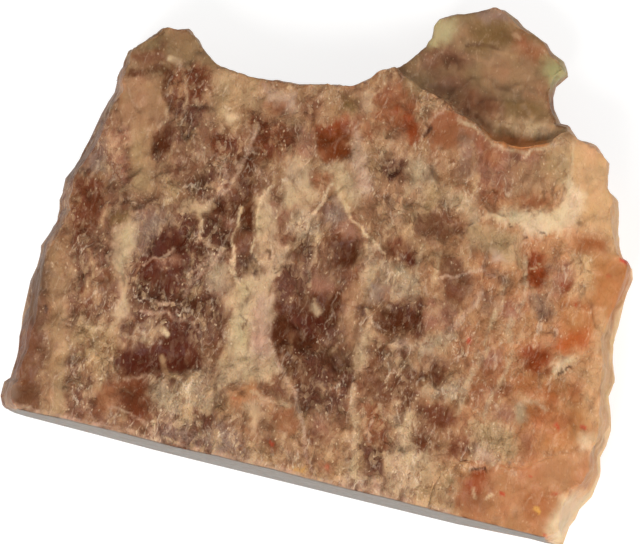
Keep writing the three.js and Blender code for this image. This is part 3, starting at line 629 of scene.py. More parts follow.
# The right horn, the terrace below it and the wall of the ledge
HORN = (
    Blot(Tone.GREEN_CREAM, ((13.6, 31.4), (15, 32.4), (17, 32.3), (17.3, 30.6), (16, 29.3),
                            (13.8, 28.7)), 0.12, 0.4),
    Blot(Tone.TAN, ((17.2, 31.6), (19, 31.2), (19, 29.6), (17.2, 30)), 0.15, 0.4),
    Blot(Tone.LEATHER, ((12.4, 28.4), (16, 28.8), (19.6, 27.6), (19, 26.2), (13, 25.6)), 0.18, 0.4),
    Blot(Tone.WALNUT, ((15.6, 27.4), (17.8, 27.2), (17.6, 26.3), (15.8, 26.3)), 0.18),
    Blot(Tone.OLIVE_BROWN, ((19, 31.8), (24, 32), (24.4, 29.4), (21, 28.6), (18.2, 28.6)), 0.15, 0.5),
    Blot(Tone.GREY_BROWN, ((19.4, 33.8), (23.6, 33.6), (24, 32.4), (20, 32.3)), 0.12),
    Blot(Tone.TERRACOTTA, ((24.6, 30.2), (26, 30.2), (28.2, 28.8), (28.3, 27.2), (26.2, 27),
                           (24.8, 28.2)), 0.18, 0.5),
    Blot(Tone.TAN, ((20.4, 27.6), (26, 27.2), (27.4, 24.4), (21, 25)), 0.15, 0.7),
    Blot(Tone.GREEN, ((28.2, 27.6), (30.4, 27.4), (31.6, 25), (30, 23.8), (28.4, 24.4)), 0.12, 0.5),
    Blot(Tone.TAN, ((23, 24.6), (28.4, 24), (29, 21.4), (26.6, 21.6)), 0.18, 0.5),
    Blot(Tone.LEATHER, ((14, 25.4), (19, 25), (19, 23), (15, 22.8)), 0.21, 0.4),
    Blot(Tone.BROWN, ((17.5, 22.8), (19.5, 23.2), (22.5, 21.8), (23.4, 20.6), (21, 20.2),
                      (18.4, 20.8)), 0.24, 0.5),
    Blot(Tone.OLIVE_BROWN, ((23.2, 22), (27, 21.6), (29, 20), (24, 19.8)), 0.15, 0.4),
    Blot(Tone.SAND, ((21, 19.6), (30.6, 19.2), (32, 16.8), (28.6, 16), (24, 17), (20.6, 18.4)), 0.48),
    Blot(Tone.CREAM, ((25.4, 19.3), (28.6, 19), (28.8, 17.2), (26.2, 17.4)), 0.36),
    Blot(Tone.SAND, ((28.6, 19), (31, 19), (32.2, 17), (29, 16.8)), 0.36),
    Blot(Tone.AMBER, ((19.6, 18.7), (21.4, 18), (23.4, 17.6), (26, 17.2), (28.4, 17), (28.7, 15.9),
                      (25.4, 15.4), (22.8, 15.9), (21, 17)), 0.12, 0.25),
    Blot(Tone.TAN, ((18.2, 19.6), (20.4, 20.2), (22, 19.2), (20, 18.6)), 0.36),
)

# Light and dark lines: healed cracks, lips of ledges, shaded splits, painted shade beside the left horn's
# facet, and painted highlights on the right ledge's lip and on a ridge
VEINS_SHADE_AND_HIGHLIGHTS = (
    # Painted shade, in this line and the next: a dark band above the left horn's raised tan facet and
    # down its right side, where the facet shades the lower stone beside it
    Vein(Tone.CHESTNUT, ((-23.6, 25.3), (-21.6, 25.4), (-20, 26), (-18.8, 25.4)), 0.55, 0.6),
    Vein(Tone.CHESTNUT, ((-18.9, 25.4), (-19.3, 23.6), (-19.3, 22.2), (-18.7, 20.8)), 0.45, 0.75),
    Vein(Tone.SAND, ((-24.4, 22.4), (-23, 22.9), (-21.6, 23.8)), 0.4, 0.5),
    Vein(Tone.PALE_CREAM, ((-19.3, 20.8), (-19.2, 19.4), (-20.4, 18)), 0.3, 0.4),
    Vein(Tone.CREAM, ((-17.2, 26), (-16.6, 23), (-17, 20.6)), 0.25, 0.6),
    Vein(Tone.PALE_CREAM, ((-18.6, 27), (-17.8, 26.7)), 0.55, 0.4),
    Vein(Tone.SHADOW, ((-17.4, 16.7), (-16.4, 17.4), (-15.2, 18.6)), 0.2, 0.6),
    Vein(Tone.SHADOW, ((-20.6, 14.2), (-20.2, 15), (-20.8, 16.4)), 0.3, 0.5),
    Vein(Tone.TAN, ((-26.9, 12), (-26.8, 8), (-27.3, 6.6), (-26.4, 3)), 0.35, 0.7),
    Vein(Tone.TAN, ((-31.8, 11), (-31.4, 6), (-31.8, 2), (-33, -3)), 0.4, 0.6),
    Vein(Tone.SAND, ((-29, 3), (-28.4, 0), (-29.4, -3), (-30.2, -7)), 0.3, 0.6),
    Vein(Tone.PALE_CREAM, ((-24.4, 4.4), (-23, 6.2)), 0.3, 0.35),
    Vein(Tone.PALE_CREAM, ((-25.6, 1), (-24.8, 1.2), (-24.2, -1.6), (-24.2, -5)), 0.35, 0.35),
    Vein(Tone.PALE_CREAM, ((-29.8, -6.4), (-28.4, -7.2), (-27, -7)), 0.25, 0.5),
    Vein(Tone.PINK_CREAM, ((-22, 0.8), (-20.8, 1.6), (-19.6, 1.8), (-18.4, 2.9)), 0.25, 0.8),
    Vein(Tone.PINK_CREAM, ((-21.8, -3.2), (-20.4, -4.1), (-17.6, -4), (-16.8, -4.4)), 0.22, 0.8),
    Vein(Tone.PINK_CREAM, ((-22.6, -5), (-21, -5.2), (-19, -4.9), (-18.4, -5.8), (-16.8, -6),
                           (-15.2, -7.4)), 0.25, 0.7),
    Vein(Tone.PINK_CREAM, ((-17, -2.8), (-15.5, -0.6), (-13.6, 0.9), (-12.4, 2.6)), 0.3, 0.75),
    Vein(Tone.PINK_CREAM, ((-16.6, -0.6), (-15, 0.8), (-13.4, 2.2)), 0.22, 0.6),
    Vein(Tone.CREAM, ((-17.8, 7.8), (-15.6, 8.1), (-14.2, 7.9), (-13.1, 9.4), (-12, 11.4)), 0.35, 0.85),
    Vein(Tone.CREAM, ((-15.4, 8.2), (-14.8, 6.2), (-15.1, 4.6), (-13.4, 3.2), (-12.2, 2.8)), 0.28, 0.8),
    Vein(Tone.PALE_CREAM, ((-19.6, -7.3), (-19.2, -7.8)), 0.4, 0.8),
    Vein(Tone.GREY_CREAM, ((-24.6, -8), (-23, -8.2), (-21.4, -8.6)), 0.3, 0.7),
    Vein(Tone.SAND, ((-19.8, -10.6), (-19.3, -12.8), (-18, -13)), 0.4, 0.7),
    Vein(Tone.PINK_CREAM, ((-24.4, -13.6), (-23, -13.3), (-21.8, -12.8)), 0.2, 0.7),
    Vein(Tone.PINK_CREAM, ((-26.4, -17), (-24.6, -17.4), (-22.4, -18.6), (-21, -20)), 0.25, 0.6),
    Vein(Tone.PALE_CREAM, ((-16.4, -14.4), (-16.2, -17), (-16.5, -19.4)), 0.22, 0.6),
    Vein(Tone.PALE_CREAM, ((-20.6, -18.6), (-20.9, -20.6), (-18, -21.2)), 0.3, 0.5),
    Vein(Tone.PINK_CREAM, ((-38, -16.7), (-24, -20.2), (-12, -23.1), (0, -26.05), (16, -30)), 0.42, 0.8),
    Vein(Tone.PALE_CREAM, ((-9.9, 8.2), (-10.2, 6), (-10.8, 4), (-10.7, 2), (-11.1, 0.2),
                           (-10.3, -1.2)), 0.24, 0.85),
    Vein(Tone.PINK_CREAM, ((-7.7, 18), (-8.6, 16.2), (-9.4, 14.6), (-10.3, 12.4), (-11.4, 10.6),
                           (-13, 9.4)), 0.3, 0.75),
    Vein(Tone.PINK_CREAM, ((-12.2, 14), (-11.6, 12), (-12.6, 10)), 0.35, 0.7),
    Vein(Tone.PINK_CREAM, ((-8, 12.6), (-6.6, 11.6), (-6, 10.4)), 0.25, 0.6),
    # Painted highlight: a light line along a ridge, where it catches the light
    Vein(Tone.PALE_CREAM, ((-8.7, 2.2), (-7.8, 4.4), (-8, 7), (-7.3, 9.2), (-6, 10.6)), 0.22, 0.7),
    Vein(Tone.SHADOW, ((-8.4, 1.8), (-7.7, 0.8), (-8.2, -0.4)), 0.22, 0.6),
    Vein(Tone.WALNUT, ((-6.9, 2.4), (-6.2, 2.5), (-6.3, 1.6)), 0.25, 0.7),
    Vein(Tone.PALE_CREAM, ((-5.6, 2), (-4.6, 2.2), (-4, 3)), 0.35, 0.6),
    Vein(Tone.WALNUT, ((-9.4, -1.6), (-8.7, -2.6), (-9.2, -3.8)), 0.22, 0.6),
    Vein(Tone.WALNUT, ((-10, -5.4), (-9.2, -6), (-9.8, -7)), 0.2, 0.5),
    Vein(Tone.SHADOW, ((-5.6, -0.2), (-4.6, 0.5), (-3.4, 0.6)), 0.18, 0.6),
    Vein(Tone.PALE_CREAM, ((1.5, 11), (0.6, 9.6), (-0.4, 8.1), (-1.4, 7.2), (-2.4, 6)), 0.28, 0.8),
    Vein(Tone.PALE_CREAM, ((-2, 7.4), (-1.6, 6.4), (-1.9, 5.4)), 0.4, 0.6),
    Vein(Tone.PALE_CREAM, ((2.2, 10.2), (3.4, 7.6), (4.2, 6.1), (5.4, 4.9), (6.4, 3.8), (7.4, 2.7),
                           (8.2, 2.2)), 0.25, 0.75),
    Vein(Tone.PALE_CREAM, ((5.9, 3), (6.6, 2.7), (7.2, 3)), 0.4, 0.6),
    Vein(Tone.CREAM, ((-0.2, 4), (-0.6, 1.6), (-1.4, 0.4), (-1.2, -1.8)), 0.28, 0.6),
    Vein(Tone.SHADOW, ((-1.5, 0.2), (-1.3, -1)), 0.16, 0.6),
    Vein(Tone.CREAM, ((8, 5), (9.6, 7.2), (11.4, 8.8)), 0.25, 0.6),
    Vein(Tone.CREAM, ((12.8, 3.4), (12.3, 1.4), (12.2, -1.4)), 0.28, 0.7),
    Vein(Tone.PINK_CREAM, ((-5.8, -10), (-5, -12), (-4, -13.8), (-3.2, -15.6), (-2.6, -17.4),
                           (-2, -20), (-2, -22), (-0.8, -25)), 0.3, 0.8),
    Vein(Tone.CREAM, ((-8.6, -15), (-6.4, -16.2), (-3.6, -16.9)), 0.28, 0.75),
    Vein(Tone.CREAM, ((-4.4, -20.4), (-4.8, -22.4), (-3, -23.4)), 0.3, 0.6),
    Vein(Tone.CREAM, ((4.2, -14.4), (4.1, -17), (4.6, -19.4), (4.4, -22), (4.2, -26)), 0.5, 0.75),
    Vein(Tone.CREAM, ((5.9, -4.8), (6.4, -6), (5.4, -8.4), (4.7, -10.4), (4.3, -13)), 0.38, 0.75),
    Vein(Tone.CREAM, ((8.4, -9), (10, -9.6), (11.6, -9.2)), 0.3, 0.6),
    Vein(Tone.SHADOW, ((5.2, -4.4), (6.4, -4.6)), 0.2, 0.6),
    Vein(Tone.PINK_CREAM, ((6.6, -18.4), (6, -20), (6.2, -21.4)), 0.24, 0.7),
    Vein(Tone.GREY_CREAM, ((7.6, -16.8), (8.2, -18), (9.4, -18.6)), 0.3, 0.6),
    Vein(Tone.CREAM, ((9.2, 16.6), (8.4, 15.6), (7.8, 14.6)), 0.3, 0.7),
    Vein(Tone.CREAM, ((14.9, 2.8), (14.6, 0.4), (14.2, -1.6)), 0.35, 0.75),
    Vein(Tone.PINK_CREAM, ((15, -1), (16, -0.6), (17.4, -0.8), (18.4, -0.2), (20.2, 0.1),
                           (21.6, -0.4)), 0.22, 0.8),
    Vein(Tone.SHADOW, ((17.5, -0.8), (18.1, -0.5)), 0.16, 0.6),
    Vein(Tone.PINK_CREAM, ((20.2, -2.6), (18.8, -4.4), (17.7, -5.8), (16.4, -7.2)), 0.42, 0.75),
    Vein(Tone.CREAM, ((22.9, -2), (22.6, -4), (21.6, -6), (20.4, -9)), 0.35, 0.7),
    Vein(Tone.CREAM, ((25.7, 2), (25.7, -1), (25.6, -3.6), (24.8, -4.8)), 0.28, 0.8),
    Vein(Tone.CREAM, ((23.9, -6), (23.5, -7.4), (23.8, -9)), 0.5, 0.7),
    Vein(Tone.CREAM, ((26.6, 0.6), (27.4, 0.9), (28, 0.9)), 0.15, 0.8),
    Vein(Tone.MAUVE_BROWN, ((26.1, -3.2), (26.6, -4.4), (27.8, -5.2), (28.4, -6.4)), 0.22, 0.6),
    Vein(Tone.CREAM, ((21, -9.6), (19.4, -11.8), (18.5, -13.8), (17.8, -16), (17, -18)), 0.4, 0.8),
    Vein(Tone.CREAM, ((24.1, -10), (23.3, -12.2), (22.4, -14), (21, -16), (20.4, -18)), 0.34, 0.75),
    Vein(Tone.CREAM, ((25.6, -16.2), (27, -16.4), (28.2, -17.4)), 0.24, 0.6),
    Vein(Tone.UMBER, ((31.2, -11.9), (30.4, -12.4), (29.6, -12.9)), 0.16, 0.85),
    Vein(Tone.SHADOW, ((25.8, 4.3), (26, 4.3)), 0.2, 0.9),
    Vein(Tone.SHADOW, ((27.6, 4.9), (28.4, 4.8)), 0.16, 0.8),
    Vein(Tone.WALNUT, ((23.6, 6.2), (23.9, 5.8)), 0.2, 0.7),
    Vein(Tone.WALNUT, ((20.2, 7.6), (20.4, 7.3)), 0.25, 0.6),
    Vein(Tone.PALE_CREAM, ((31.4, 11), (32.2, 9.6), (32, 7.8), (30.4, 6), (28.4, 5.2),
                           (26.4, 5.6)), 0.5, 0.75),
    Vein(Tone.BROWN, ((30.6, 10.4), (30.4, 9), (29.2, 7.9), (27, 7.5), (25, 8.4)), 0.22, 0.5),
    Vein(Tone.WALNUT, ((27.9, 10.2), (28.2, 8.8)), 0.18, 0.5),
    Vein(Tone.PALE_CREAM, ((31.8, 16), (31.8, 12.4)), 0.2, 0.45),
    Vein(Tone.UMBER, ((13, 17), (13.5, 17.6), (14, 18.4)), 0.26, 0.8),
    Vein(Tone.PINK_CREAM, ((12.6, 16.6), (13.2, 18), (14.4, 19.6), (15.8, 20.6)), 0.22, 0.7),
    # Painted highlight: the lip of the right ledge, painted light where it catches the light beside its
    # shaded wall
    Vein(Tone.CREAM, ((17.4, 19.2), (19.3, 18.3), (20.6, 17.2), (21.7, 16), (23.8, 15.4), (26, 15.1),
                      (28.6, 15.7), (30.4, 16.3)), 0.3, 0.75),
    # Painted highlight: a bright glint on that lip
    Vein(Tone.PALE_CREAM, ((25.7, 14.4), (26.2, 14.9)), 0.3, 0.8),
    Vein(Tone.CREAM, ((22, 18.8), (23.4, 18.7), (24.8, 18.6)), 0.22, 0.75),
    Vein(Tone.TAN, ((18.2, 27.7), (20.3, 27.2)), 0.3, 0.7),
    Vein(Tone.SAND, ((21.8, 28.3), (24, 28)), 0.26, 0.6),
    Vein(Tone.WALNUT, ((18.4, 28.9), (20.6, 29.2), (22.4, 28.6)), 0.25, 0.6),
    Vein(Tone.CREAM, ((24.3, 30.3), (24.9, 30)), 0.4, 0.6),
    Vein(Tone.SAND, ((25, 24), (26.6, 23.2), (28.4, 21.6)), 0.35, 0.5),
    Vein(Tone.WALNUT, ((30.8, 24.8), (29.8, 24), (29.2, 22.6), (29, 20.4), (29.8, 19),
                       (31, 18.6)), 0.3, 0.6),
    Vein(Tone.PEACH, ((17, -25.4), (18.4, -24.5), (20.2, -24.1), (23, -24.6), (25, -25.1)), 0.22, 0.7),
    Vein(Tone.SHADOW, ((19, -24.8), (20.4, -24.5), (21, -24.8)), 0.16, 0.7),
    Vein(Tone.PALE_CREAM, ((20.8, -28.2), (21.3, -27.8)), 0.28, 0.8),
    Vein(Tone.CREAM, ((19, -27.2), (19.2, -28.2)), 0.2, 0.7),
    Vein(Tone.HONEY, ((26.8, -29.6), (27.4, -30)), 0.35, 0.8),
    Vein(Tone.SHADOW, ((-34.5, -4), (-34.3, -4.6)), 0.25, 0.8),
    Vein(Tone.OLIVE_BROWN, ((-26.5, 20.6), (-26.2, 21.6)), 0.4, 0.9),
)

# Bright red platelets of hematite that lie at the surface
PLATELETS = (
    Vein(Tone.PLATELET, ((38, 1.5), (38.2, 1.4)), 0.45, 0.9),
    Vein(Tone.PLATELET, ((36.1, -0.4), (36.2, -0.4)), 0.28, 0.6),
    Vein(Tone.PLATELET, ((18.4, -8.3), (18.6, -8.7)), 0.3, 0.7),
    Vein(Tone.PLATELET, ((29.6, -19.2), (29.8, -19.4)), 0.28, 0.7),
    Vein(Tone.PLATELET, ((32.7, -19.4), (33.2, -19.3)), 0.28, 0.8),
    Vein(Tone.PLATELET, ((29.1, -27.7), (29.5, -27.9)), 0.3, 0.6),
    Vein(Tone.PLATELET, ((28.1, -33), (28.3, -33)), 0.28, 0.6),
    Vein(Tone.PLATELET, ((22.7, -27.7), (22.8, -27.9)), 0.26, 0.7),
    Vein(Tone.PLATELET, ((-6.2, -21.4), (-5.9, -21.8)), 0.28, 0.5),
    Vein(Tone.PLATELET, ((0.8, -24.4), (1, -24.6)), 0.34, 0.6),
    Vein(Tone.PLATELET, ((-10.9, -15.8), (-10.8, -15.9)), 0.24, 0.6),
    Vein(Tone.PLATELET, ((26.2, -25.5), (26.4, -25.5)), 0.2, 0.6),
    Vein(Tone.PLATELET, ((31.7, -4.2), (31.9, -4.2)), 0.24, 0.6),
)


@dataclass(frozen=True)
class BrokenFeldspar:
    """Oligoclase feldspar, broken by hand and sawn on one edge.

    Cleavage and countless healed cracks scatter the light: clear spots look down into a dark red-brown
    body, and milky ones look cream. Its lustre is glassy, a little greasy where it is milky. The covers
    say how much of a colour shows where it is strongest. The glow is light that spreads inside the
    stone: how much of it there is, how far each colour goes compared with red, and how many millimetres
    red goes.
    """

    veil: str = Tone.VEIL.value
    depth: str = "#6c3418"
    crack: str = "#f0d4b4"
    pit: str = "#52301c"
    # Painted glints: pale flecks that stand in for light glinting off tiny cleavage facets.
    painted_glint: str = "#e6c7a0"
    sawn: str = "#756a60"
    saw_mark: str = "#655b51"
    ior: float = 1.54
    gloss: float = 0.14
    glow: float = 0.25
    glow_reach: tuple[float, float, float] = (1.0, 0.45, 0.2)
    glow_depth: float = 1.0
    lustre: tuple[float, float] = (0.3, 0.55)
    veil_cover: float = 0.5
    depth_cover: float = 0.5
    crack_cover: float = 0.85
    hair_crack_cover: float = 0.6
    pit_cover: float = 0.5
    # How much the painted glints cover where they are strongest.
    painted_glint_cover: float = 0.6


@dataclass(frozen=True)
class Grain:
    """Sizes of the feldspar's patterns, and the depth of its finest relief, in millimetres.

    The real stone's finest cracks and pits are thinner than a pixel, so flecks, sugar and hair cracks are
    drawn a little coarser than life. Places along the streaks are squeezed by the streak share, which
    draws the patterns out there. The sawn face begins softly: sawn_reach says how far inwards of the
    sawn side it starts to show, and how far inwards it shows fully.
    """

    streak: float = 0.65
    swirl: float = 1.3
    swirl_reach: float = 0.8
    mottle: float = 0.85
    flake: float = 0.62
    crack: float = 2.2
    hair_crack: float = 1.0
    patch: float = 3.2
    fleck: float = 0.36
    sugar: float = 0.3
    saw_mark: float = 0.35
    saw_marks_per_metre: float = 120.0
    flake_lean: float = 3.0
    relief_depth: float = 0.32
    sawn_reach: tuple[float, float] = (0.22, 0.05)


class ShaderSheet:
    """A material's node tree, and a short way to add to it."""

    def __init__(self, name: str) -> None:
        """Starts a material with an empty node tree.

        Args:
            name: The material's name.
        """
        self.material = bpy.data.materials.new(name)
        self.material.use_nodes = True
        self.tree = self.material.node_tree
        self.tree.nodes.clear()

    def add(
        self, kind: str, links: dict[int | str, object] | None = None, **settings: object
    ) -> bpy.types.Node:
        """Adds one node.

        Args:
            kind: The node's type, without the ShaderNode in front.
            links: What feeds its inputs, by input name or number: a value, a socket, or a node, whose
                first output is then taken.
            **settings: The node's own properties.

        Returns:
            The new node.
        """
        node = self.tree.nodes.new("ShaderNode" + kind)
        for key, value in settings.items():
            setattr(node, key, value)
        for key, value in (links or {}).items():
            if isinstance(value, bpy.types.Node):
                value = next(output for output in value.outputs if output.enabled)
            if isinstance(value, bpy.types.NodeSocket):
                self.tree.links.new(value, node.inputs[key])
            else:
                node.inputs[key].default_value = value
        return node


@dataclass
class FeldsparLook:
    """Builds the slab's material from its finish, its grain and what is painted on its vertices.

    Some inputs go by number. In a MapRange node 0 is the value, 1 and 2 are the range it comes from, and
    3 and 4 the range it goes to. In a Mix node 0 is the share, and 6 and 7 are the two colours.
    """

    finish: BrokenFeldspar = field(default_factory=BrokenFeldspar)
    grain: Grain = field(default_factory=Grain)

    def build(self) -> bpy.types.Material:
        """Lays the colours, gloss and fine relief over each other.

        Returns:
            The finished material.
        """
        finish = self.finish
        sheet = ShaderSheet("broken_oligoclase_feldspar")
        broken = sheet.add("Attribute", attribute_name="broken").outputs["Fac"]
        sawn = self.sawn_share(sheet)
        places = self.places(sheet)
        colour, milky = self.body(sheet, places, broken)
        colour = self.flecks(sheet, places, broken, colour)
        colour = sheet.add("Mix", {0: sawn, 6: colour, 7: self.sawn_face(sheet)}, data_type="RGBA")
        shader = sheet.add(
            "BsdfPrincipled",
            {
                "Base Color": colour,
                "Roughness": sheet.add("MapRange", {0: milky, 3: finish.lustre[0], 4: finish.lustre[1]}),
                "IOR": finish.ior,
                "Specular IOR Level": finish.gloss,
                "Subsurface Weight": finish.glow,
                "Subsurface Radius": finish.glow_reach,
                "Subsurface Scale": finish.glow_depth * MM,
                "Normal": self.fine_relief(sheet, places, broken),
            },
        )
        sheet.add("OutputMaterial", {"Surface": shader})
        return sheet.material

    def places(self, sheet: ShaderSheet) -> bpy.types.Node:
        """Gives each place across and along the cleavage streaks, and swirls it a little.

        Args:
            sheet: The material.

        Returns:
            The place in millimetres, drawn together along the streaks, so that grains come out longer.
        """
        grain = self.grain
        origin = sheet.add("TexCoord").outputs["Object"]
        turned = sheet.add(
            "Mapping",
            {
                "Vector": origin,
                "Rotation": (0.0, 0.0, STREAK_LEAN - DRAWING_TURN),
                "Scale": (1 / MM, grain.streak / MM, 1 / MM),
            },
        )
        swirl = sheet.add("TexNoise", {"Vector": turned, "Scale": 1 / grain.swirl, "Detail": 2.0})
        shift = sheet.add(
            "VectorMath", {0: swirl.outputs["Color"], 1: (0.5, 0.5, 0.5)}, operation="SUBTRACT"
        )
        reach = (grain.swirl_reach,) * 3
        return sheet.add("VectorMath", {0: shift, 1: reach, 2: turned}, operation="MULTIPLY_ADD")

    def body(
        self, sheet: ShaderSheet, places: bpy.types.Node, broken: bpy.types.NodeSocket
    ) -> tuple[bpy.types.Node, bpy.types.Node]:
        """Breaks the painted tone up into milky and clear grains, and draws fine crack lines over it.

        Args:
            sheet: The material.
            places: Places in millimetres.
            broken: How finely broken the feldspar is.

        Returns:
            The colour, and how milky it is, from 0 for clear to about 1.
        """
        finish, grain = self.finish, self.grain
        tone = sheet.add("Attribute", attribute_name="tone").outputs["Color"]
        mottle = sheet.add(
            "TexNoise", {"Vector": places, "Scale": 1 / grain.mottle, "Detail": 4.0, "Roughness": 0.62}
        )
        flakes = sheet.add("TexVoronoi", {"Vector": places, "Scale": 1 / grain.flake}).outputs["Color"]
        flake = sheet.add("SeparateColor", {0: flakes})
        mixed = sheet.add("Math", {0: flake, 1: 0.3, 2: mottle}, operation="MULTIPLY_ADD")
        strength = sheet.add("MapRange", {0: broken, 1: 0.2, 2: 0.8, 3: 0.08, 4: 1.0})
        lighter = sheet.add("MapRange", {0: mixed, 1: 0.66, 2: 0.9, 3: 0.0, 4: finish.veil_cover})
        lighter = sheet.add("Math", {0: lighter, 1: strength}, operation="MULTIPLY")
        darker = sheet.add("MapRange", {0: mixed, 1: 0.6, 2: 0.4, 3: 0.0, 4: finish.depth_cover})
        darker = sheet.add("Math", {0: darker, 1: strength}, operation="MULTIPLY")
        colour = sheet.add("Mix", {0: lighter, 6: tone, 7: linear(finish.veil)}, data_type="RGBA")
        colour = sheet.add("Mix", {0: darker, 6: colour, 7: linear(finish.depth)}, data_type="RGBA")
        share = sheet.add("MapRange", {0: broken, 1: 0.2, 2: 0.9, 3: 0.2, 4: 1.0})
        patch = sheet.add("TexNoise", {"Vector": places, "Scale": 1 / grain.patch, "Detail": 2.0})
        patch = sheet.add("MapRange", {0: patch, 1: 0.38, 2: 0.62, 3: 0.2, 4: 1.1})
        share = sheet.add("Math", {0: share, 1: patch}, operation="MULTIPLY")
        for size, cover in (
            (grain.crack, finish.crack_cover),
            (grain.hair_crack, finish.hair_crack_cover),
        ):
            line = self.healed_cracks(sheet, places, size)
            line = sheet.add("Math", {0: line, 1: cover}, operation="MULTIPLY")
            line = sheet.add("Math", {0: line, 1: share}, operation="MULTIPLY")
            colour = sheet.add("Mix", {0: line, 6: colour, 7: linear(finish.crack)}, data_type="RGBA")
        return colour, mixed

    def healed_cracks(self, sheet: ShaderSheet, places: bpy.types.Node, size: float) -> bpy.types.Node:
        """Draws branching light lines that fade in and out.

        Args:
            sheet: The material.
            places: Places in millimetres.
            size: About how far apart the lines are, in millimetres.

        Returns:
            Their cover, from 0 to 1.
        """
        along = sheet.add(
            "VectorMath", {0: places, 1: (1.2 / size, 0.75 / size, 1 / size)}, operation="MULTIPLY"
        )
        ridges = sheet.add(
            "TexNoise",
            {"Vector": along, "Scale": 1.0, "Detail": 4.0, "Roughness": 0.55, "Offset": 0.9, "Gain": 2.0},
            noise_type="RIDGED_MULTIFRACTAL",
        )
        return sheet.add("MapRange", {0: ridges, 1: 1.25, 2: 1.75})

    def flecks(
        self,
        sheet: ShaderSheet,
        places: bpy.types.Node,
        broken: bpy.types.NodeSocket,
        colour: bpy.types.Node,
    ) -> bpy.types.Node:
        """Scatters dark pits and pale flecks over the colour, mostly where the stone is much broken. The
        pale flecks are painted glints, standing in for light off tiny facets.

        Args:
            sheet: The material.
            places: Places in millimetres.
            broken: How finely broken the feldspar is.
            colour: What they lie on.

        Returns:
            The colour with them.
        """
        finish, grain = self.finish, self.grain
        cells = sheet.add("TexVoronoi", {"Vector": places, "Scale": 1 / grain.fleck})
        pick = sheet.add("SeparateColor", {0: cells.outputs["Color"]})
        spot = sheet.add("MapRange", {0: cells.outputs["Distance"], 1: 0.36, 2: 0.2})
        often = sheet.add("MapRange", {0: broken, 1: 0.1, 2: 0.8, 3: 0.15, 4: 1.0})
        much = sheet.add("Math", {0: spot, 1: often}, operation="MULTIPLY")
        for channel, shade, cover in (
            (0, finish.pit, finish.pit_cover),
            # The second row lays the painted glints.
            (1, finish.painted_glint, finish.painted_glint_cover),
        ):
            chosen = sheet.add("MapRange", {0: pick.outputs[channel], 1: 0.85, 2: 0.91, 3: 0.0, 4: cover})
            amount = sheet.add("Math", {0: much, 1: chosen}, operation="MULTIPLY")
            colour = sheet.add("Mix", {0: amount, 6: colour, 7: linear(shade)}, data_type="RGBA")
        return colour

    def sawn_share(self, sheet: ShaderSheet) -> bpy.types.Node:
        """Tells the flat sawn edge by its place, so that it ends sharply.

        Args:
            sheet: The material.

        Returns:
            Its share, from 0 to 1.
        """
        origin = sheet.add("TexCoord").outputs["Object"]
        place = sheet.add("SeparateXYZ", {0: origin})
        start, end = (-(SAWN_SIDE - inwards) * MM for inwards in self.grain.sawn_reach)
        return sheet.add("MapRange", {0: place.outputs["Y"], 1: start, 2: end})

    def sawn_face(self, sheet: ShaderSheet) -> bpy.types.Node:
        """Colours the sawn edge: dull grey, with faint marks that run along the cut.

        Args:
            sheet: The material.

        Returns:
            Its colour.
        """
        finish, grain = self.finish, self.grain
        origin = sheet.add("TexCoord").outputs["Object"]
        lengthwise = grain.saw_marks_per_metre
        scale = (lengthwise, lengthwise, 1 / (grain.saw_mark * MM))
        along = sheet.add("VectorMath", {0: origin, 1: scale}, operation="MULTIPLY")
        marks = sheet.add("TexNoise", {"Vector": along, "Scale": 1.0, "Detail": 3.0})
        amount = sheet.add("MapRange", {0: marks, 1: 0.42, 2: 0.66})
        return sheet.add(
            "Mix", {0: amount, 6: linear(finish.sawn), 7: linear(finish.saw_mark)}, data_type="RGBA"
        )

    def fine_relief(
        self, sheet: ShaderSheet, places: bpy.types.Node, broken: bpy.types.NodeSocket
    ) -> bpy.types.Node:
        """Gives the finest relief: glinting cleavage flakes and a sugary grain.

        Args:
            sheet: The material.
            places: Places in millimetres.
            broken: How finely broken the feldspar is.

        Returns:
            The bent normal.
        """
        grain = self.grain
        flakes = sheet.add("TexVoronoi", {"Vector": places, "Scale": 1 / grain.flake})
        inside = sheet.add("VectorMath", {0: places, 1: flakes.outputs["Position"]}, operation="SUBTRACT")
        lean = sheet.add(
            "VectorMath", {0: flakes.outputs["Color"], 1: (0.5, 0.5, 0.5)}, operation="SUBTRACT"
        )
        tilt = sheet.add("VectorMath", {0: inside, 1: lean}, operation="DOT_PRODUCT")
        sugar = sheet.add(
            "TexNoise", {"Vector": places, "Scale": 1 / grain.sugar, "Detail": 2.0, "Roughness": 0.6}
        )
        height = sheet.add("Math", {0: tilt, 1: grain.flake_lean, 2: sugar}, operation="MULTIPLY_ADD")
        height = sheet.add("Math", {0: height, 1: broken}, operation="MULTIPLY")
        depth = grain.relief_depth * MM
        return sheet.add("Bump", {"Height": height, "Strength": 1.0, "Distance": depth})


@dataclass(frozen=True)
class Lumps:
    """Rough noise: how wide its lumps are across the streaks, along them and up, in millimetres."""

    size: tuple[float, float, float]
    seed: int
    layers: int = 3

    def at(self, places: np.ndarray) -> np.ndarray:
        """Gives its value at each place, mostly between -1 and 1."""
        return rough_noise(places, self.size, self.seed, self.layers)


@dataclass(frozen=True)
class Facets:
    """Flat facets: their widths as for lumps, their seed, their steepness and how sharply they meet."""

    size: tuple[float, float, float]
    seed: int
    tilt: float = 0.0
    crisp: float = 9.0

    def at(self, places: np.ndarray) -> tuple[np.ndarray, np.ndarray]:
        """Gives the height in millimetres at each place, and a number from -1 to 1 for its facet."""
        return broken_facets(places, self.size, self.tilt, self.seed, self.crisp)


@dataclass(frozen=True)
class Shading:
    """How strongly the grain changes the painted tones."""

    veil: float = 0.42
    depth: float = 0.5
    cloud: float = 0.3
    warm_drift: tuple[float, float, float] = (0.05, -0.02, -0.07)
    green_drift: tuple[float, float, float] = (-0.04, 0.03, -0.04)
    lightness: tuple[float, float, float] = (0.3, 0.5, 0.2)
    full_light: float = 0.36
    least_light: float = 0.12
    darkening: float = 0.4
    tint: tuple[float, float, float] = (1.0, 0.96, 0.91)


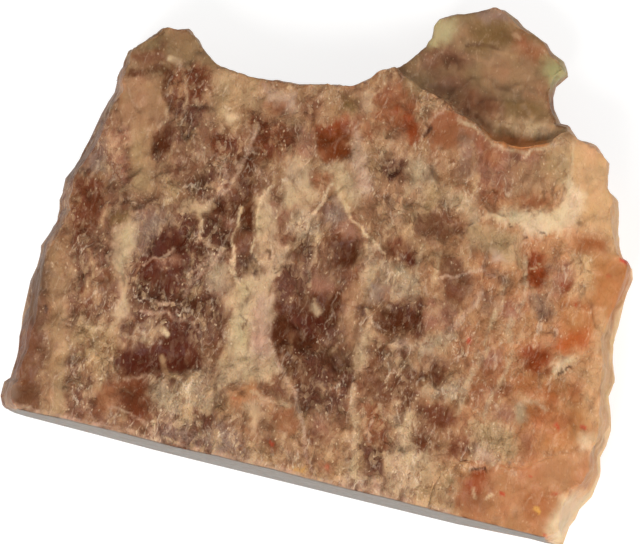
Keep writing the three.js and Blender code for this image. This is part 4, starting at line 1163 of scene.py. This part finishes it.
@dataclass
class StonePaint:
    """Works out, for each vertex, the tone, how broken the stone is, and what its grain adds in height.

    The first five fields hold each vertex's x and y in the drawing plane, its place across the streaks,
    along them and up, how far its normal points up, and its height. Lengths are millimetres.
    """

    across: np.ndarray
    up: np.ndarray
    places: np.ndarray
    upward: np.ndarray
    height: np.ndarray
    fading: Lumps = Lumps((0.8, 1.2, 0.8), 30, 2)
    stirring: Lumps = Lumps((1.1, 1.7, 1.2), 80)
    bands: Lumps = Lumps((5.0, 9.0, 3.2), 100, 4)
    blotches: Lumps = Lumps((3.4, 6.0, 3.0), 110, 4)
    mottle: Lumps = Lumps((1.5, 2.6, 1.6), 120, 4)
    clouds: Lumps = Lumps((2.6, 4.6, 2.6), 130)
    rim: Lumps = Lumps((2.5, 4.0, 1.6), 170)
    warmth: Lumps = Lumps((2.6, 4.2, 2.6), 180, 2)
    greenness: Lumps = Lumps((2.6, 4.2, 2.6), 190, 2)
    flakes: Facets = Facets((1.1, 1.8, 1.2), 12, 0.2, 16.0)
    border_lumps: tuple[float, float, float] = (2.2, 3.4, 2.6)
    border_flakes: tuple[float, float, float] = (0.7, 1.1, 0.8)
    border_crisp: float = 30.0
    border_flake_share: float = 0.6
    border_drawn_out: float = 1.2
    ragged: float = 0.42
    stirred: float = 1.3
    line_ragged: float = 0.22
    ground_broken: float = 0.6
    shading: Shading = Shading()
    patches: np.ndarray = field(init=False)

    def __post_init__(self) -> None:
        """Works out how well lines show at each place."""
        self.patches = 0.65 + 0.5 * smoothstep(-0.35, 0.25, self.fading.at(self.places))

    def wander(self, amount: float, seed: int) -> np.ndarray:
        """Works out how far each place moves one way: in smooth waves, and flake by flake.

        Args:
            amount: About how far they move, in millimetres.
            seed: Which waves and flakes are meant.

        Returns:
            One move for each place, in millimetres.
        """
        waves = Lumps(self.border_lumps, seed, layers=4).at(self.places)
        _, flake = Facets(self.border_flakes, seed, crisp=self.border_crisp).at(self.places)
        return amount * (waves + self.border_flake_share * flake)

    def stretched(self, amount: float, seed: int) -> tuple[np.ndarray, np.ndarray]:
        """Moves each place about a little, so that drawn borders come out ragged.

        Args:
            amount: About how far they move, in millimetres.
            seed: Which way they move.

        Returns:
            The moved x and y in the drawing plane.
        """
        across = self.across + self.wander(amount, seed)
        up = self.up + self.wander(self.border_drawn_out * amount, seed + 10)
        return across, up

    def lay(
        self,
        marks: tuple[Blot | Vein, ...],
        where: tuple[np.ndarray, np.ndarray],
        tone: np.ndarray,
        broken: np.ndarray,
    ) -> None:
        """Lays marks over the tone and the brokenness, the later ones on top.

        Args:
            marks: Areas and lines.
            where: Each vertex's x and y in the drawing plane.
            tone: Linear red, green and blue, n by 3, changed in place.
            broken: One number for each vertex, changed in place.
        """
        across, up = where
        for mark in marks:
            corners = np.array(mark.outline if isinstance(mark, Blot) else mark.path)
            reach = mark.reach()
            near = (across > corners[:, 0].min() - reach) & (across < corners[:, 0].max() + reach)
            near &= (up > corners[:, 1].min() - reach) & (up < corners[:, 1].max() + reach)
            weight = mark.weight(across[near], up[near])
            if isinstance(mark, Vein):
                weight *= self.patches[near]
            tone[near] += weight[:, None] * (mark.tone.rgb() - tone[near])
            if isinstance(mark, Blot):
                broken[near] += weight * (mark.broken - broken[near])

    def areas(self, amount: float, seed: int) -> tuple[np.ndarray, np.ndarray]:
        """Lays all areas over a brown ground.

        Args:
            amount: How ragged their borders are, in millimetres.
            seed: Which ragged borders are meant.

        Returns:
            The tones, n by 3, and how broken the stone is.
        """
        tone = np.tile(Tone.BROWN.rgb(), (len(self.across), 1))
        broken = np.full(len(self.across), self.ground_broken)
        where = self.stretched(amount, seed)
        for marks in (GROUNDS, LEFT_SIDE, LEFT_FACE, MIDDLE_FACE, RIGHT_FACE, HORN):
            self.lay(marks, where, tone, broken)
        return tone, broken

    def face(self) -> tuple[np.ndarray, np.ndarray]:
        """Paints what is seen from above: the same areas twice, calm and well stirred, grown together.

        Returns:
            The tones, n by 3, and how broken the stone is.
        """
        tone, broken = self.areas(self.ragged, seed=40)
        stirred, stirred_broken = self.areas(self.stirred, seed=60)
        patchy = smoothstep(0.15, 0.3, self.stirring.at(self.places)) * 0.8
        amount = patchy * smoothstep(0.2, 0.6, broken)
        tone = blend(tone, stirred, amount)
        broken = broken + amount * (stirred_broken - broken)
        self.lay(VEINS_SHADE_AND_HIGHLIGHTS + PLATELETS, self.stretched(self.line_ragged, seed=90), tone, broken)
        return tone, broken

    def rind(self) -> tuple[np.ndarray, np.ndarray]:
        """Paints the walls and the underside: milky, brown and clear bands, and a pale thin right edge
        with a painted glow, as if light shone through it.

        Returns:
            The tones, n by 3, and how broken the stone is.
        """
        band, blotch = self.bands.at(self.places), self.blotches.at(self.places)
        warm = smoothstep(-10.0, 26.0, self.across + 6.0 * band)
        tone = blend(Tone.BROWN.rgb(), Tone.TERRACOTTA.rgb(), warm)
        for colour, low, high, pattern in (
            (Tone.TAN, 0.0, 0.35, band),
            (Tone.CREAM, 0.3, 0.6, blotch),
            (Tone.REDWOOD, -0.15, -0.4, blotch),
            (Tone.OLIVE_BROWN, -0.35, -0.6, band),
        ):
            tone = blend(tone, colour.rgb(), smoothstep(low, high, pattern) * 0.85)
        # Painted glow: the thin right edge is made pale, as if light shone through it.
        pale = smoothstep(24.0, 31.0, self.across + 1.5 * blotch) * smoothstep(18.0, 8.0, self.up)
        tone = blend(tone, Tone.THIN_EDGE.rgb(), pale)
        return tone, (0.45 + 0.4 * smoothstep(-0.3, 0.3, band)) * (1.0 - 0.6 * pale)

    def grain(self, tone: np.ndarray, broken: np.ndarray) -> tuple[np.ndarray, np.ndarray]:
        """Shades the tones by small flakes and milky clouds, and lets their hue drift a little.

        Args:
            tone: Linear red, green and blue, n by 3.
            broken: How broken the stone is.

        Returns:
            The shaded tones, and the height in millimetres that the flakes and clouds add.
        """
        shading = self.shading
        _, shade = self.flakes.at(self.places)
        value = (0.4 * shade + self.mottle.at(self.places)) * (0.22 + 0.85 * broken)
        tone = blend(tone, Tone.VEIL.rgb(), shading.veil * smoothstep(0.05, 0.75, value))
        tone = blend(tone, Tone.DEPTH.rgb(), shading.depth * smoothstep(-0.05, -0.75, value))
        cloud = smoothstep(0.24, 0.0, np.abs(self.clouds.at(self.places)))
        cloud = cloud * smoothstep(-0.1, 0.4, gradient_noise(self.places, size=3.4, seed=140))
        tone = blend(tone, Tone.VEIL.rgb(), shading.cloud * cloud * broken)
        warm, green = (drift.at(self.places)[:, None] for drift in (self.warmth, self.greenness))
        tone = tone * (1.0 + warm * shading.warm_drift + green * shading.green_drift)
        light = tone @ np.array(shading.lightness)
        dimmed = np.clip(light / shading.full_light, shading.least_light, 1.0) ** shading.darkening
        return tone * dimmed[:, None] * shading.tint, 0.06 * cloud * broken + 0.05 * value

    def build(self) -> tuple[np.ndarray, np.ndarray, np.ndarray]:
        """Joins the face and the rind, and shades them.

        Returns:
            The tones, n by 3, how broken the stone is, and the height that the grain adds.
        """
        tone, broken = self.face()
        wall_tone, wall_broken = self.rind()
        low = smoothstep(8.5, 4.5, self.height + 2.5 * self.rim.at(self.places))
        under = np.maximum(smoothstep(0.0, -0.5, self.upward), low)
        tone = blend(tone, wall_tone, under)
        broken = broken + under * (wall_broken - broken)
        tone, height = self.grain(tone, broken)
        return tone, broken, height


@dataclass
class SunstoneSlab:
    """The slab: a fine skin cut out of the CAD solid, with the markings that its material reads.

    Lengths are millimetres. The waist is where the coarser mesh of the underside begins. The pairs of
    numbers say where something starts to count and where it counts fully.
    """

    node: str = "sunstone"
    slot: str = "feldspar"
    weld: float = 0.001
    voxel: float = 0.25
    keep: float = 0.5
    waist: float = 9.5
    waist_depth: float = 5.0
    crease: float = math.radians(42)
    sawn_reach: tuple[float, float] = (0.25, 0.05)
    rest_reach: tuple[float, float] = (0.6, 0.05)
    facing_down: tuple[float, float] = (-0.5, -0.9)
    facing_up: tuple[float, float] = (0.35, 0.75)
    underside_calm: float = 0.6
    coarse: Facets = Facets((2.2, 3.4, 2.4), 11, 0.34)
    medium: Facets = Facets((1.1, 1.8, 1.2), 12, 0.32)
    small_lumps: tuple[float, float, float] = (0.7, 1.0, 0.8)
    wall_layers: tuple[float, float, float] = (7.0, 7.0, 0.9)
    face_sink: float = 0.14
    wall_sink: float = 0.02
    highest: float = 0.16
    look: FeldsparLook = field(default_factory=FeldsparLook)

    def build(self) -> bpy.types.Object:
        """Makes the slab and puts it in place of the CAD solid.

        Returns:
            The finished piece.
        """
        piece = self.fine_copy()
        self.thin_out_underside(piece)
        self.dress(piece)
        piece.data.materials.clear()
        piece.data.materials.append(self.look.build())
        self.select_only(piece)
        bpy.ops.object.shade_smooth_by_angle(angle=self.crease)
        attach(piece, "root")
        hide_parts(self.node)
        return piece

    def select_only(self, piece: bpy.types.Object) -> None:
        """Selects the piece and nothing else, and makes it the active object.

        Args:
            piece: The piece to select.
        """
        bpy.ops.object.select_all(action="DESELECT")
        bpy.context.view_layer.objects.active = piece
        piece.select_set(True)

    def fine_copy(self) -> bpy.types.Object:
        """Copies the CAD solid, merges its loose triangles and remeshes it finely.

        Returns:
            The copy, with an even skin of small faces.
        """
        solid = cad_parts[self.node]
        piece = bpy.data.objects.new("sunstone_slab", solid.data.copy())
        bpy.context.scene.collection.objects.link(piece)
        self.select_only(piece)
        bpy.ops.object.mode_set(mode="EDIT")
        bpy.ops.mesh.select_all(action="SELECT")
        bpy.ops.mesh.remove_doubles(threshold=self.weld * MM)
        bpy.ops.object.mode_set(mode="OBJECT")
        remesh = piece.modifiers.new("fine_skin", "REMESH")
        remesh.mode = "VOXEL"
        remesh.voxel_size = self.voxel * MM
        bpy.ops.object.modifier_apply(modifier=remesh.name)
        return piece

    def thin_out_underside(self, piece: bpy.types.Object) -> None:
        """Makes the mesh coarser on the underside and the walls, which carry less detail.

        Args:
            piece: The finely remeshed slab.
        """
        height = self.read(piece, "co")[:, 2] / MM
        group = piece.vertex_groups.new(name="underside")
        amount = np.round(smoothstep(self.waist, self.waist - self.waist_depth, height), 1)
        for level in np.unique(amount):
            group.add(np.flatnonzero(amount == level).tolist(), float(level), "REPLACE")
        thin = piece.modifiers.new("thin_out", "DECIMATE")
        thin.ratio = self.keep
        thin.vertex_group = group.name
        bpy.ops.object.modifier_apply(modifier=thin.name)
        piece.vertex_groups.clear()

    def read(self, piece: bpy.types.Object, what: str) -> np.ndarray:
        """Reads each vertex's place or normal.

        Args:
            piece: The slab.
            what: "co" for the place, "normal" for the normal.

        Returns:
            Three numbers for each vertex, n by 3.
        """
        flat = np.empty(len(piece.data.vertices) * 3)
        piece.data.vertices.foreach_get(what, flat)
        return flat.reshape(-1, 3)

    def drawn(self, points: np.ndarray) -> tuple[np.ndarray, np.ndarray]:
        """Turns places in the part's frame back into the drawing plane.

        Args:
            points: Places, n by 3, in millimetres.

        Returns:
            Their x and y in the drawing plane.
        """
        x, y = points[:, 0] - DRAWING_SHIFT[0], points[:, 1] - DRAWING_SHIFT[1]
        cos, sin = math.cos(DRAWING_TURN), math.sin(DRAWING_TURN)
        return DRAWING_SCALE * (x * cos + y * sin), DRAWING_SCALE * (y * cos - x * sin)

    def along_streaks(self, points: np.ndarray) -> np.ndarray:
        """Gives places across the cleavage streaks, along them, and up.

        Args:
            points: Places in the part's frame, n by 3, in millimetres.

        Returns:
            The turned places, n by 3, in millimetres.
        """
        x, y = self.drawn(points)
        cos, sin = math.cos(STREAK_LEAN), math.sin(STREAK_LEAN)
        return np.column_stack((x * cos - y * sin, x * sin + y * cos, points[:, 2]))

    def is_sawn(self, points: np.ndarray) -> np.ndarray:
        """Tells how much each vertex belongs to the flat sawn edge."""
        start, end = (-SAWN_SIDE + inwards for inwards in self.sawn_reach)
        return smoothstep(start, end, points[:, 1])

    def dress(self, piece: bpy.types.Object) -> None:
        """Paints the skin and cuts facets into it, but leaves the sawn edge and the resting flat alone.

        Args:
            piece: The slab's bare skin.
        """
        points, normals = self.read(piece, "co") / MM, self.read(piece, "normal")
        places = self.along_streaks(points)
        across, up = self.drawn(points)
        tone, broken, height = StonePaint(across, up, places, normals[:, 2], points[:, 2]).build()
        sawn = self.is_sawn(points)
        self.write(piece, "tone", np.column_stack((tone, np.ones(len(tone)))), "FLOAT_COLOR", "color")
        self.write(piece, "broken", broken * (1.0 - sawn), "FLOAT", "value")
        relief = height + self.relief(places, normals, broken)
        rests = smoothstep(*self.rest_reach, points[:, 2])
        underside = smoothstep(*self.facing_down, normals[:, 2])
        free = (1.0 - sawn) * (1.0 - rests) * (1.0 - self.underside_calm * underside)
        moved = points + normals * (relief * free)[:, None]
        low, high = (np.array(corner) / MM for corner in cad_bounds)
        moved = np.clip(moved, low, high)
        piece.data.vertices.foreach_set("co", (moved * MM).ravel())
        piece.data.update()

    def write(
        self, piece: bpy.types.Object, name: str, numbers: np.ndarray, kind: str, slot: str
    ) -> None:
        """Stores numbers on the vertices under a name that the material reads."""
        attribute = piece.data.attributes.new(name, kind, "POINT")
        attribute.data.foreach_set(slot, numbers.astype(np.float32).ravel())

    def relief(self, places: np.ndarray, normals: np.ndarray, broken: np.ndarray) -> np.ndarray:
        """Works out how far each vertex moves out: facets and lumps, and layers on the walls.

        Args:
            places: Places across the streaks, along them and up, n by 3, in millimetres.
            normals: The vertices' normals, n by 3.
            broken: How finely broken the feldspar is.

        Returns:
            The moves in millimetres, below 0 for inwards.
        """
        top = smoothstep(*self.facing_up, normals[:, 2])
        side = 1.0 - np.abs(normals[:, 2])
        coarse, _ = self.coarse.at(places)
        medium, _ = self.medium.at(places)
        small = gradient_noise(places, self.small_lumps, seed=13)
        layers = gradient_noise(places, self.wall_layers, seed=15)
        facets = 0.7 * coarse + (0.15 + 0.8 * broken) * (medium + 0.07 * small)
        walls = 0.5 * facets + 0.2 * side * layers - self.wall_sink
        facets = top * (facets - self.face_sink) + (1.0 - top) * walls
        return np.minimum(facets, self.highest)


@dataclass(frozen=True)
class SoftLight:
    """A square soft light that faces the slab.

    Its direction from the slab is in the drawing plane and up. Its distance and its side are in
    millimetres, and its power is in watts.
    """

    name: str
    towards: tuple[float, float, float]
    distance: float
    side: float
    watts: float


@dataclass
class Studio:
    """The floor, the lights and the camera."""

    floor_size: float = 3000.0
    floor_drop: float = 0.05
    card: str = "#959492"
    white: str = "#ffffff"
    card_glow: float = 0.8
    room_glow: float = 0.4
    key: SoftLight = SoftLight("key_light", (-0.5, -0.9, 1.25), 900.0, 420.0, 7.4)
    fill: SoftLight = SoftLight("fill_light", (1.0, -0.1, 0.55), 1200.0, 700.0, 4.6)
    lens: float = 600.0
    sensor: float = 36.0
    seen_width: float = 78.69
    tilt: float = math.radians(5.5)
    aim_height: float = 14.0

    def drawing_to_part(self, x: float, y: float, z: float) -> Vector:
        """Turns a direction in the drawing plane into the part's frame."""
        turned = Matrix.Rotation(DRAWING_TURN, 2) @ Vector((x, y))
        return Vector((turned.x, turned.y, z))

    def lay_floor(self) -> bpy.types.Object:
        """Lays the pale floor, which glows like a light table, so that the slab's shadow stays faint.

        Returns:
            The floor.
        """
        bpy.ops.object.select_all(action="DESELECT")
        middle = (0.0, 0.0, -self.floor_drop * MM)
        bpy.ops.mesh.primitive_plane_add(size=self.floor_size * MM, location=middle)
        floor = bpy.context.object
        floor.name = "floor"
        sheet = ShaderSheet("matt_white_card")
        shader = sheet.add(
            "BsdfPrincipled",
            {
                "Base Color": linear(self.card),
                "Roughness": 0.9,
                "Emission Color": linear(self.white),
                "Emission Strength": self.card_glow,
            },
        )
        sheet.add("OutputMaterial", {"Surface": shader})
        floor.data.materials.append(sheet.material)
        return floor

    def hang_light(self, light: SoftLight) -> None:
        """Hangs one light so that it faces the slab.

        Args:
            light: Its name, direction, distance, size and power.
        """
        direction = self.drawing_to_part(*light.towards).normalized()
        lamp = bpy.data.lights.new(light.name, "AREA")
        lamp.size = light.side * MM
        lamp.energy = light.watts
        holder = bpy.data.objects.new(light.name, lamp)
        holder.location = direction * light.distance * MM
        holder.rotation_mode = "QUATERNION"
        holder.rotation_quaternion = (-direction).to_track_quat("-Z", "Y")
        bpy.context.scene.collection.objects.link(holder)

    def light(self) -> None:
        """Sets the pale room, the key light at the lower left and a low fill from the right."""
        world = bpy.data.worlds.new("pale_room")
        world.use_nodes = True
        background = world.node_tree.nodes["Background"]
        background.inputs["Color"].default_value = linear(self.white)
        background.inputs["Strength"].default_value = self.room_glow
        scene = bpy.context.scene
        scene.world = world
        scene.view_settings.view_transform = "Standard"
        self.hang_light(self.key)
        self.hang_light(self.fill)

    def place_camera(self) -> None:
        """Looks straight down on the face, tilted a little so that the sawn edge shows."""
        data = bpy.data.cameras.new("camera")
        data.lens = self.lens
        data.sensor_width = self.sensor
        camera = bpy.data.objects.new("camera", data)
        back = self.drawing_to_part(0.0, -math.sin(self.tilt), math.cos(self.tilt))
        right = self.drawing_to_part(1.0, 0.0, 0.0)
        up = back.cross(right)
        distance = self.seen_width * self.lens / self.sensor
        aim = Vector((*DRAWING_SHIFT, self.aim_height))
        turn = Matrix((right, up, back)).transposed().to_4x4()
        camera.matrix_world = Matrix.Translation((aim + back * distance) * MM) @ turn
        data.clip_start = distance * 0.1 * MM
        data.clip_end = distance * 10 * MM
        bpy.context.scene.collection.objects.link(camera)
        bpy.context.scene.camera = camera


def main() -> None:
    """Builds the studio and the slab, and reports the piece."""
    logging.basicConfig(level=logging.INFO, format="%(name)s: %(message)s")
    studio = Studio()
    studio.lay_floor()
    studio.light()
    studio.place_camera()
    slab = SunstoneSlab().build()
    log.info("%s: %d vertices, %d faces", slab.name, len(slab.data.vertices), len(slab.data.polygons))


if __name__ == "__main__":
    main()
